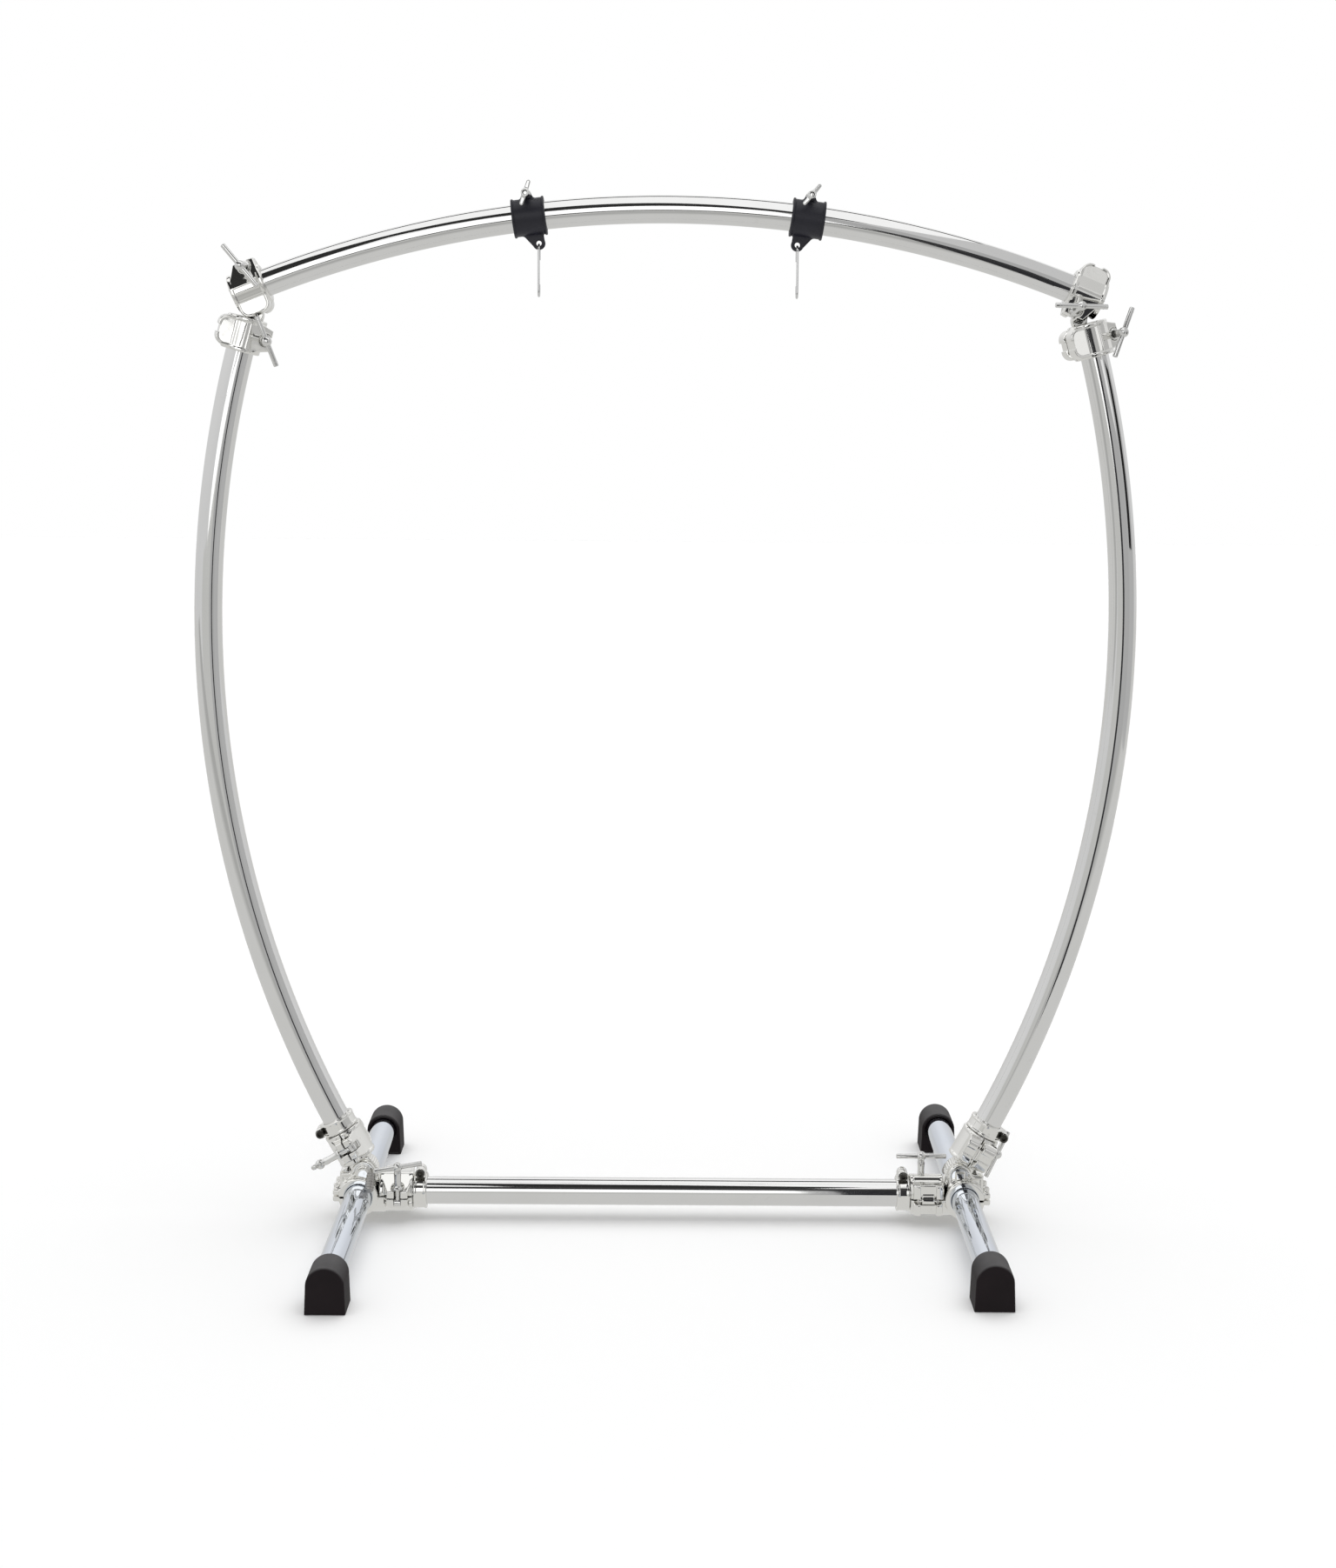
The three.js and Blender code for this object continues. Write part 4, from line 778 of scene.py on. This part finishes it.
cast_chrome = chrome(
    "cast_chrome",
    (0.9, 0.893, 0.872),
    (0.82, 0.818, 0.79),
    roughness=0.07,
    ripple=0.14,
    ripple_scale=75.0,
    grime=0.25,
)
thread_plate = chrome("thread_plate", (0.5, 0.49, 0.47), (0.38, 0.37, 0.36), 0.2, ripple=0.1, grime=0.8)
stud_radius = 6.3
stud_length = 28
stud_drop = 16
stud_groove = 1.6
stud_pitch = 4.4
leg_clamp = moulded(leg_clamp_form, (-39, -40, -32), (78, 41, 53))
base_places = {}
for side, name in ((-1, "left"), (1, "right")):
    place = framed((side * leg_x, 0, axis_height), (-side, 0, 0), (0, -side, 0))
    base_places[name] = place
    fit(stood(name + "_base_casting", leg_clamp, place, cast_chrome), name + "_leg_clamp")
    start = np.array((pivot[0] + 11.5, -cheek_half - 4.2, pivot[1], 1))
    way = np.array((0, -math.sqrt(stud_length**2 - stud_drop**2), -stud_drop, 0))
    points = [(place @ (start + way * share))[:3] for share in np.linspace(0, 1, 90)]
    stud = run_along(
        name + "_set_screw",
        points,
        stud_radius,
        thread_plate,
        32,
        groove_depth=stud_groove,
        groove_pitch=stud_pitch,
    )
    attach(stud, "frame")


# Clamp caps
# The hinged halves of the eight clamps, chromed castings like the bodies under them. Each has a framed
# face, a knuckle on the hinge pin and a slot that the swing bolt drops into.
lower_angle = 0.26888
upper_angle = 0.38471
upper_shift = 6
upper_tilt = math.radians(10)
lower_turn = math.radians(14)


def corner_places(side):
    """The frames of a top corner's two clamps, left for side -1 and right for side 1."""
    mirror = np.array((-side, 1, 1))
    front = np.array((0, -1, 0))
    down = mirror * (math.sin(upper_angle), 0, -math.cos(upper_angle))
    height = top_centre_height + bend_radius * math.cos(upper_angle)
    point = mirror * (-bend_radius * math.sin(upper_angle), 0, height)
    if side < 0:
        upper = framed(point, -down, front)
    else:
        across = down * math.cos(upper_tilt) + front * math.sin(upper_tilt)
        upper = framed(point, across, front * math.cos(upper_tilt) - down * math.sin(upper_tilt))
    along = mirror * (math.sin(lower_angle), 0, math.cos(lower_angle))
    right = np.array((along[2], 0, -along[0]))
    height = widest_height + bend_radius * math.sin(lower_angle)
    point = (bend_centre_x - bend_radius * math.cos(lower_angle), 0, height)
    across = right * math.cos(lower_turn) - front * math.sin(lower_turn)
    lower = framed(mirror * point, across, front * math.cos(lower_turn) + right * math.sin(lower_turn))
    return upper, lower


clamp_places = {}
for side, name in ((-1, "left"), (1, "right")):
    upper, lower = corner_places(side)
    clamp_places[name + "_bar_clamp"] = (base_places[name] @ bar_clamp, bar_shift)
    clamp_places[name + "_upright_clamp"] = (base_places[name] @ upright_clamp, 0)
    clamp_places[name + "_corner_bar"] = (upper, upper_shift)
    clamp_places[name + "_corner_upright"] = (lower, 0)
cap_low, cap_high = (-40, -7, -25), (39, 29, 25)
caps = {}
for shift in (bar_shift, 0, upper_shift):
    caps[shift] = moulded(lambda p, shift=shift: clamp_cap_form(p, shift), cap_low, cap_high)
for name, (place, shift) in clamp_places.items():
    fit(stood(name + "_hinged_cap", caps[shift], place, cast_chrome), name + "_cap")


# Swing bolts and tee nuts
# Turned steel, chromed. Each bolt hangs in its body's ears on a cross pin. Its tall nut has a flange, a
# waisted neck, and a ball that a plain rod is pressed through to turn it by hand.
bolt_chrome = chrome("bolt_chrome", (0.8, 0.8, 0.79), (0.72, 0.72, 0.71), 0.12, ripple=0.05, grime=0.2)
part_gap = 0.4
nut_seat = split + cap_ear_depth + part_gap
nut_height = 44
ball_radius = 7
rod_radius = 3.5
rod_length = 72
rod_rim = 29.5


def ringed(rings, low, high):
    """A closed solid through rings of points, between two heights on its axis."""
    sides = len(rings[0])
    points = [point for ring in rings for point in ring] + [(0, 0, low), (0, 0, high)]
    first, last = len(points) - 2, len(points) - 1
    top = (len(rings) - 1) * sides
    quads, caps = [], []
    for k in range(sides):
        after = (k + 1) % sides
        for near in range(0, top, sides):
            far = near + sides
            quads.append((near + k, near + after, far + after, far + k))
        caps += [(first, after, k), (last, top + k, top + after)]
    return outwards((np.array(points), [np.array(quads), np.array(caps)]))


def turned(profile, sides=56):
    """A turned solid about Z, from pairs of radius and height that start and end on the axis."""
    angles = np.linspace(0, 2 * math.pi, sides, endpoint=False)
    rings = [[(r * math.cos(a), r * math.sin(a), h) for a in angles] for r, h in profile[1:-1]]
    return ringed(rings, profile[0][1], profile[-1][1])


def outwards(shape):
    """The same shape with its faces turned out."""
    points, groups = shape
    volume = 0.0
    for group in groups:
        for k in range(1, group.shape[1] - 1):
            first, second, third = (points[group[:, i]] for i in (0, k, k + 1))
            volume += np.einsum("ij,ij->", first, np.cross(second, third))
    return (points, [group[:, ::-1] for group in groups]) if volume < 0 else shape


def together(*shapes):
    """Several closed shapes in one mesh."""
    points, groups, start = [], [], 0
    for shape_points, shape_groups in shapes:
        points.append(shape_points)
        groups += [group + start for group in shape_groups]
        start += len(shape_points)
    return np.concatenate(points), groups


def placed(shape, place):
    return shape[0] @ place[:3, :3].T + place[:3, 3], shape[1]


def rounded_rod(radius, low, high, soft, sides=40):
    """A turned rod with rounded ends."""
    angles = np.linspace(0, math.pi / 2, 5)
    bend = [(radius - soft + soft * math.cos(a), soft * math.sin(a)) for a in angles]
    start = [(r, low + soft - h) for r, h in reversed(bend)]
    end = [(r, high - soft + h) for r, h in bend]
    return turned([(0, low), *start, *end, (0, high)], sides)


# The place that lays a solid made about Z along Y
along_y = framed((0, 0, 0), (0, 0, 1), (1, 0, 0))
reach = nut_height - nut_seat
turns = [(math.cos(angle), math.sin(angle)) for angle in np.linspace(-0.85, 1.5, 16)]
ball = [(ball_radius * out, reach + ball_radius * up) for out, up in turns]
hub = turned(
    [
        (0, 27),
        (4.25, 27),
        (4.25, 0.4),
        (4.6, 0),
        (7.3, 0),
        (7.9, 0.5),
        (8, 1.2),
        (8, 2.2),
        (7.6, 2.9),
        (6.3, 3.6),
        (5.5, 4.8),
        (5.1, 7),
        (4.9, 12),
        (5.0, 18),
        (5.4, 22.5),
        (5.3, 24),
        (4.9, 25.5),
        *ball,
        (0, reach + ball_radius),
    ]
)
handle = rounded_rod(rod_radius, -rod_length / 2, rod_length / 2, 1.1)
for end in (-1, 1):
    low, high = sorted((end * rod_rim, end * (rod_rim + 1.1)))
    handle = together(handle, rounded_rod(rod_radius + 0.25, low, high, 0.4))
tee_nut = together(placed(hub, along_y), placed(handle, framed((0, reach, 0), (1, 0, 0), (0, 1, 0))))
eye = rounded_rod(eye_radius, -eye_width / 2, eye_width / 2, 0.8)
cross_pin = rounded_rod(2.9, -ear_width / 2 - 0.3, ear_width / 2 + 0.3, 0.5)
shank = rounded_rod(bolt_radius - 0.2, 0, nut_height + pivot_depth - ball_radius - 5.4, 0.5)
swing_bolt = together(eye, cross_pin, placed(shank, along_y))
nut_turns = {
    "left_bar_clamp": 27,
    "right_bar_clamp": 1,
    "left_upright_clamp": 104,
    "right_upright_clamp": -14,
    "left_corner_bar": -72,
    "right_corner_bar": 21,
    "left_corner_upright": 36,
    "right_corner_upright": -36,
}
for name, (place, shift) in clamp_places.items():
    pin = place @ framed((bolt_offset, -pivot_depth, shift), (1, 0, 0), (0, 1, 0))
    bolt = stood(name + "_eye_bolt", swing_bolt, pin, bolt_chrome, sharp=40)
    fit(bolt, name + "_swing_bolt")
    turn = math.radians(nut_turns[name])
    seat = framed((bolt_offset, nut_seat, shift), (math.cos(turn), 0, -math.sin(turn)), (0, 1, 0))
    nut = stood(name + "_tee_handle", tee_nut, place @ seat, bolt_chrome, sharp=40)
    fit(nut, name + "_tee_nut", name + "_tee_nut_body")


# Upright sockets
# A hinged clamp with a closed floor that the upright's end stands on, cast in one with a notched disc
# below. The disc sits between the leg clamp's cheeks, and its notches hold the upright's lean.
socket_floor = 4
pivot_below = 43
disc_radius = 19
notches = 32
notch_depth = 0.6
pivot_hole = 4.4


def upright_socket_form(p):
    """X to the front, Y away from the stand's middle, Z down the upright."""
    x, y, z = p
    floor = half_clamp - socket_floor
    body = clamp_body_form(p)
    flange = bar(p, 2, (0, 0), 23.5, floor, half_clamp + 1.4, 1.0)
    angle = np.arctan2(y, z - pivot_below)
    notch = notch_depth * np.clip(1.7 * np.sin(notches * angle), -1, 1)
    disc = np.hypot(y, z - pivot_below) - disc_radius - notch
    disc = extruded(disc, np.abs(x) - disc_half + 0.2, 0.5)
    face = bar(p, 0, (0, pivot_below), 14, -disc_half - 1, -disc_half + 1.2, 0.5)
    disc = carved(disc, face, 0.8)
    tang = block(p, (-disc_half, -16, floor), (disc_half, 16, pivot_below), 2.0)
    foot = merged(merged(flange, tang, 3.5), disc, 1.0)
    foot = carved(foot, block(p, (-60, -split, -5), (60, 60, half_clamp + 0.4), 0.3), 0.6)
    socket = merged(body, foot, 1.2)
    socket = carved(socket, bar(p, 0, (0, pivot_below), pivot_hole, -60, 60, 0.2), 0.4)
    leg = through(np.linalg.inv(upright_clamp))(p)
    return carved(socket, bar(leg, 1, (0, 0), barrel_radius + 0.5, -60, 60, 0.3), 0.5)


socket = moulded(upright_socket_form, (-40, -29, -25), (39, 26, 65))
for name in ("left", "right"):
    piece = stood(name + "_upright_foot_casting", socket, base_places[name] @ upright_clamp, cast_chrome)
    fit(piece, name + "_upright_socket")


# Top corner castings
# Two clamp bodies at each top corner, joined by lugs that face each other with fine teeth on their rims.
# The bolt through the lugs fixes the angle between the upright and the bar.
corner_pivot = (-566.471, 1277.774)
lug_radius = 10.5
lug_start = 6
lug_split = 13
lug_end = 20.4
lug_teeth = 30


def lug_form(p, middle, root, low, high, teeth_at):
    """A plate from a casting to the pivot, toothed round its mating face. Points are the stand's."""
    outline = strap(p[0], p[2], root, middle, lug_radius, lug_radius)
    angle = np.arctan2(p[2] - middle[1], p[0] - middle[0])
    near = np.clip(1 - np.abs(p[1] - teeth_at) / 2.0, 0, 1)
    outline = outline + near * (0.55 + 0.45 * np.clip(1.6 * np.sin(lug_teeth * angle), -1, 1))
    return extruded(outline, np.abs(p[1] - (low + high) / 2) - (high - low) / 2, 0.8)


def corner_forms(side):
    """The two castings of one corner, each as a form in its own clamp's frame with that frame."""
    upper, lower = corner_places(side)
    middle = (-side * corner_pivot[0], corner_pivot[1])
    inward = np.array((-side * math.cos(upper_angle), 0, math.sin(upper_angle)))
    down = np.array((-side * math.sin(upper_angle), 0, -math.cos(upper_angle)))
    upper_root = upper[:3, 3] + down * 22 - inward * 4
    along = np.array((-side * math.sin(lower_angle), 0, math.cos(lower_angle)))
    lower_root = np.array((middle[0], 0, middle[1])) - along * (lug_radius + 4)

    def with_lug(body, p, q, root, low, high, teeth_at):
        """A clamp body with its lug, the pivot's hole and the tube's bore cut clear."""
        lug = lug_form(q, middle, (root[0], root[2]), low, high, teeth_at)
        body = merged(body, lug, 2.0)
        body = carved(body, bar(q, 1, middle, pivot_hole, 0, 60, 0.2), 0.5)
        return carved(body, tube_bore(p), 0.6)

    def upper_form(p):
        q = through(np.linalg.inv(upper))(p)
        body = clamp_body_form(p, upper_shift)
        body = carved(body, bar(q, 1, middle, 12.6, lug_split - 0.1, 70, 0.3), 0.5)
        body = with_lug(body, p, q, upper_root, lug_start, lug_split, lug_split)
        low, high = upper_shift - 5.2, upper_shift + 5.2
        return carved(body, bar(p, 2, (bolt_offset, -pivot_depth), eye_radius + 0.5, low, high, 0.3), 0.4)

    def lower_form(p):
        q = through(np.linalg.inv(lower))(p)
        body = clamp_body_form(p)
        body = carved(body, bar(q, 1, middle, 11.6, lug_start - 0.8, lug_split + 0.1, 0.3), 0.5)
        body = with_lug(body, p, q, lower_root, lug_split + part_gap, lug_end, lug_split + part_gap)
        return carved(body, bar(q, 1, middle, 8.2, lug_end + 0.3, 60, 0.3), 0.5)

    return (upper_form, upper), (lower_form, lower)


for side, name in ((-1, "left"), (1, "right")):
    forms = corner_forms(side)
    for (form, place), which in zip(forms, ("bar", "upright")):
        shape = moulded(form, (-48, -31, -46), (48, 12, 46))
        piece = stood(f"{name}_corner_{which}_casting", shape, place, cast_chrome)
        fit(piece, f"{name}_corner_{which}_socket")


def ring(radius, height, hexagon=True):
    """Points round Z, on a circle or on a hexagon."""
    sixth = math.pi / 3
    points = []
    for angle in np.linspace(0, 2 * math.pi, 72, endpoint=False):
        flat = math.cos(sixth / 2) / math.cos(angle % sixth - sixth / 2) if hexagon else 1
        points.append((radius * flat * math.cos(angle), radius * flat * math.sin(angle), height))
    return points


def screw_head(radius, low, high, soft, socket=None, socket_depth=None):
    """A hexagon head about Z, or a round one with a hexagon socket in its upper face."""
    outer = [(radius - soft, low), (radius, low + soft), (radius, high - soft), (radius - soft, high)]
    rings = [ring(size, height, socket is None) for size, height in outer]
    end = high
    if socket:
        end = high - socket_depth
        rings += [ring(socket + 0.35, high), ring(socket, high - 0.4), ring(socket, end)]
    return ringed(rings, low, end)


head = screw_head(7, lug_end + 0.8, lug_end + 5.8, 0.6)
pivot_bolt = together(head, rounded_rod(bolt_radius, lug_start + 0.6, lug_end + 3, 0.5))
for side, name in ((-1, "left"), (1, "right")):
    place = framed((-side * corner_pivot[0], 0, corner_pivot[1]), (0, 0, 1), (1, 0, 0))
    piece = stood(name + "_corner_hexagon_bolt", pivot_bolt, place, bolt_chrome, sharp=35)
    fit(piece, name + "_corner_pivot_bolt")


# Memory locks
# Split collars that stay on the tube to mark where a clamp goes back. Chromed castings with one boss,
# closed by a black socket-head screw that faces the front.
lock_half = 9
lock_radius = 24.8
lock_rim = 3.4
lock_reach = 35.5
lock_boss = 7.5
lock_depth = 11


def lock_form(p):
    """Z along the tube, Y towards the boss, X away from the screw's head."""
    x, y, z = p
    collar = bar(p, 2, (0, 0), lock_radius - 0.6, -lock_half, lock_half, 1.4)
    collar = rimmed(collar, p, 2, lock_radius, lock_half, lock_rim, 1.0, 0.8)
    outline = strap(z, y, (0, 15), (0, lock_reach - lock_boss), lock_boss, lock_boss)
    boss = extruded(outline, np.abs(x) - lock_depth, 1.2)
    lock = carved(merged(collar, boss, 2.5), tube_bore(p), 1.0)
    lock = carved(lock, block(p, (-1, 8, -60), (1, 60, 60), 0.2), 0.6)
    return carved(lock, bar(p, 0, (lock_reach - lock_boss, 0), 2.75, -60, 60, 0.2), 0.7)


def screw_steel(name):
    """Black oxide on steel, rubbed bare where a key and fingers touch it."""
    made, tree = finish_named(name)
    place = tree.node("ShaderNodeTexCoord", output=3)
    fine = tree.node("ShaderNodeTexNoise", inputs={"Vector": place, "Scale": 700.0, "Detail": 3.0})
    rubbed = tree.node("ShaderNodeTexNoise", inputs={"Vector": place, "Scale": 120.0, "Detail": 3.0})
    rubbed = tree.node("ShaderNodeMapRange", {"clamp": True}, {0: rubbed, 1: 0.5, 2: 0.75})
    colour = tree.between(rubbed, (0.045, 0.043, 0.038, 1.0), (0.16, 0.155, 0.14, 1.0))
    bumped = tree.node("ShaderNodeBump", inputs={"Strength": 0.3, "Distance": 0.0002, "Height": fine})
    plate = tree.node(
        "ShaderNodeBsdfPrincipled",
        inputs={"Base Color": colour, "Metallic": 0.9, "Roughness": fine * 0.2 + 0.25, "Normal": bumped},
    )
    tree.node("ShaderNodeOutputMaterial", inputs={0: plate})
    return made


black_steel = screw_steel("black_steel")
lock = moulded(lock_form, (-26, -26, -10), (26, 36, 10), 0.75)
shank = rounded_rod(2.3, -lock_depth, lock_depth + 0.6, 0.3)
cap_screw = together(screw_head(5.6, lock_depth + part_gap, lock_depth + 5.4, 0.6, 2.9, 3.2), shank)
beside = half_clamp + lock_half + 3 * part_gap
for side, name in ((-1, "left"), (1, "right")):
    angle = base_angle + beside / bend_radius
    out = np.array((math.cos(angle) * side, 0, math.sin(angle)))
    point = np.array((side * -bend_centre_x, 0, widest_height)) + bend_radius * out
    places = {
        "bar": framed((side * (leg_x - clamp_reach - beside), 0, axis_height), (0, 1, 0), (0, 0, 1)),
        "upright": framed(point, (0, 1, 0), out),
    }
    for which, place in places.items():
        collar = stood(f"{name}_{which}_lock_collar", lock, place, cast_chrome)
        fit(collar, f"{name}_{which}_lock")
        tip = place @ framed((0, lock_reach - lock_boss, 0), (0, 0, 1), (0, 1, 0))
        screw = stood(f"{name}_{which}_cap_screw", cap_screw, tip, black_steel, sharp=35)
        fit(screw, f"{name}_{which}_lock_screw")


# Hangers
# Two black nylon collars that slide on the top bar: a sleeve with raised rims, split ears that a wing nut
# pulls together on top, and a tongue below with an eye for the hook.
hanger_half = 22.5
hanger_bore = 20.05
hanger_radius = 25.15
hanger_rim = 3.2
hanger_face = 7.2
ear_height = 30.5
ear_slit = 2.2
tongue_half = 3
tongue_eye = (9, -36.8)
hanger_spread = 190


def hanger_form(p):
    """X along the bar to the stand's middle, Y away from the viewer, Z up from the bar's axis."""
    x, y, z = p
    sleeve = bar(p, 0, (0, 0), hanger_radius, -hanger_half, hanger_half, 0.8)
    sleeve = rimmed(sleeve, p, 0, hanger_radius + 1.4, hanger_half, hanger_rim, 0.9, 0.4)
    ears = extruded(strap(x, z, (0, 19), (0, ear_height), 12, 6.5), np.abs(y) - hanger_face, 1.2)
    tongue = extruded(strap(x, z, (2.6, -19), tongue_eye, 14.5, 8.7), np.abs(y) - tongue_half, 0.9)
    hanger = merged(merged(sleeve, ears, 2.5), tongue, 2.5)
    hanger = carved(hanger, bar(p, 0, (0, 0), hanger_bore, -60, 60, 0.2), 1.0)
    hanger = carved(hanger, block(p, (-60, -ear_slit, 0), (60, ear_slit, 60), 0.3), 0.6)
    hanger = carved(hanger, bar(p, 1, tongue_eye, 3.7, -60, 60, 0.2), 1.0)
    return carved(hanger, bar(p, 1, (0, ear_height), 3.3, -60, 60, 0.2), 0.6)


nylon = moulding("nylon", (0.01, 0.01, 0.016), (0.017, 0.017, 0.026), 0.4, 700.0, 0.0001, 0.35)
hanger = moulded(hanger_form, (-24, -28, -47), (24, 28, 39))


# Wing nuts, hanger screws and hooks
# A chromed wing nut and a hexagon screw close each hanger's ears. A hook of bright 3.2 mm steel wire hangs
# in the hanger's eye, bent one way at the top and the other at the bottom.
def wing_form(p):
    """Z along the screw from the ear's face, X towards one wing."""
    x, y, z = p
    hub = bar(p, 2, (0, 0), 5.4, 0, 28.7, 1.0)
    hub = merged(hub, bar(p, 2, (0, 0), 6.6, 0, 2.4, 0.7), 1.0)
    lean = np.abs(x) - 4
    wing = strap(np.abs(x), y, (0, 0), (15.4, 0), 3.2, 2.6)
    wing = extruded(wing, np.abs(z - 23.5) - 3.4 + 0.04 * np.maximum(lean, 0), 1.4)
    return carved(merged(hub, wing, 2.2), bar(p, 2, (0, 0), 3.3, -60, 60, 0.2), 0.6)


wing = moulded(wing_form, (-19, -8, 0), (19, 8, 30), 0.7)
screw_shaft = rounded_rod(2.9, -hanger_face - 23.5, hanger_face + 3.5, 0.5)
hanger_screw = together(screw_head(5.8, hanger_face + part_gap, hanger_face + 5.4, 0.5), screw_shaft)
wing_turns = {"left": -65, "right": -57}
wire_steel = chrome("wire_steel", (0.8, 0.8, 0.8), (0.7, 0.7, 0.7), 0.14, ripple=0.05, grime=0.2)
wire_radius = 1.6
hook_seat = 1.5
hook_top = 9.5
hook_low = 7
hook_drop = 71.2
hook_short_leg = 11
hook_low_leg = 9
for side, name in ((-1, "left"), (1, "right")):
    angle = math.asin(hanger_spread / bend_radius)
    inward = np.array((-side * math.cos(angle), 0, math.sin(angle)))
    away = np.array((side * math.sin(angle), 0, math.cos(angle)))
    centre = away * bend_radius + (0, 0, top_centre_height)
    holder = framed(centre, -side * inward, (0, 1, 0))
    mirror = np.diag((-side, -side, 1, 1)).astype(float)
    body = name + "_hanger_body"
    fit(stood(name + "_nylon_hanger", hanger, holder @ mirror, nylon), name + "_hanger", body)
    place = holder @ framed((0, 0, ear_height), (0, 0, 1), (1, 0, 0))
    screw = stood(name + "_ear_screw", hanger_screw, place, bolt_chrome, sharp=35)
    fit(screw, name + "_hanger_screw", body)
    turn = math.radians(wing_turns[name])
    seat = (0, -hanger_face - part_gap, ear_height)
    place = holder @ framed(seat, (math.cos(turn), 0, -math.sin(turn)), (0, 1, 0))
    piece = stood(name + "_wing", wing, place @ framed((0, 0, 0), (1, 0, 0), (0, 0, 1)), bolt_chrome)
    fit(piece, name + "_hanger_wing_nut", name + "_wing_nut_body")
    eye = centre + inward * tongue_eye[0] + away * tongue_eye[1]
    top = -hook_seat - hook_top
    low = -hook_drop + hook_low
    turns = [(math.cos(angle), math.sin(angle)) for angle in np.linspace(0, math.pi, 25)]
    upper = [(hook_top * out, top + hook_top * up) for out, up in turns]
    lower = [(hook_low - hook_top - hook_low * out, low - hook_low * up) for out, up in turns]
    end = (2 * hook_low - hook_top, low + hook_low_leg)
    route = [(hook_top, top - hook_short_leg), *upper, *lower, end]
    points = [(eye[0], eye[1] + y, eye[2] + z) for y, z in route]
    hook = run_along(name + "_wire_hook", points, wire_radius, wire_steel, 20)
    fit(hook, name + "_s_hook", name + "_hook_body")
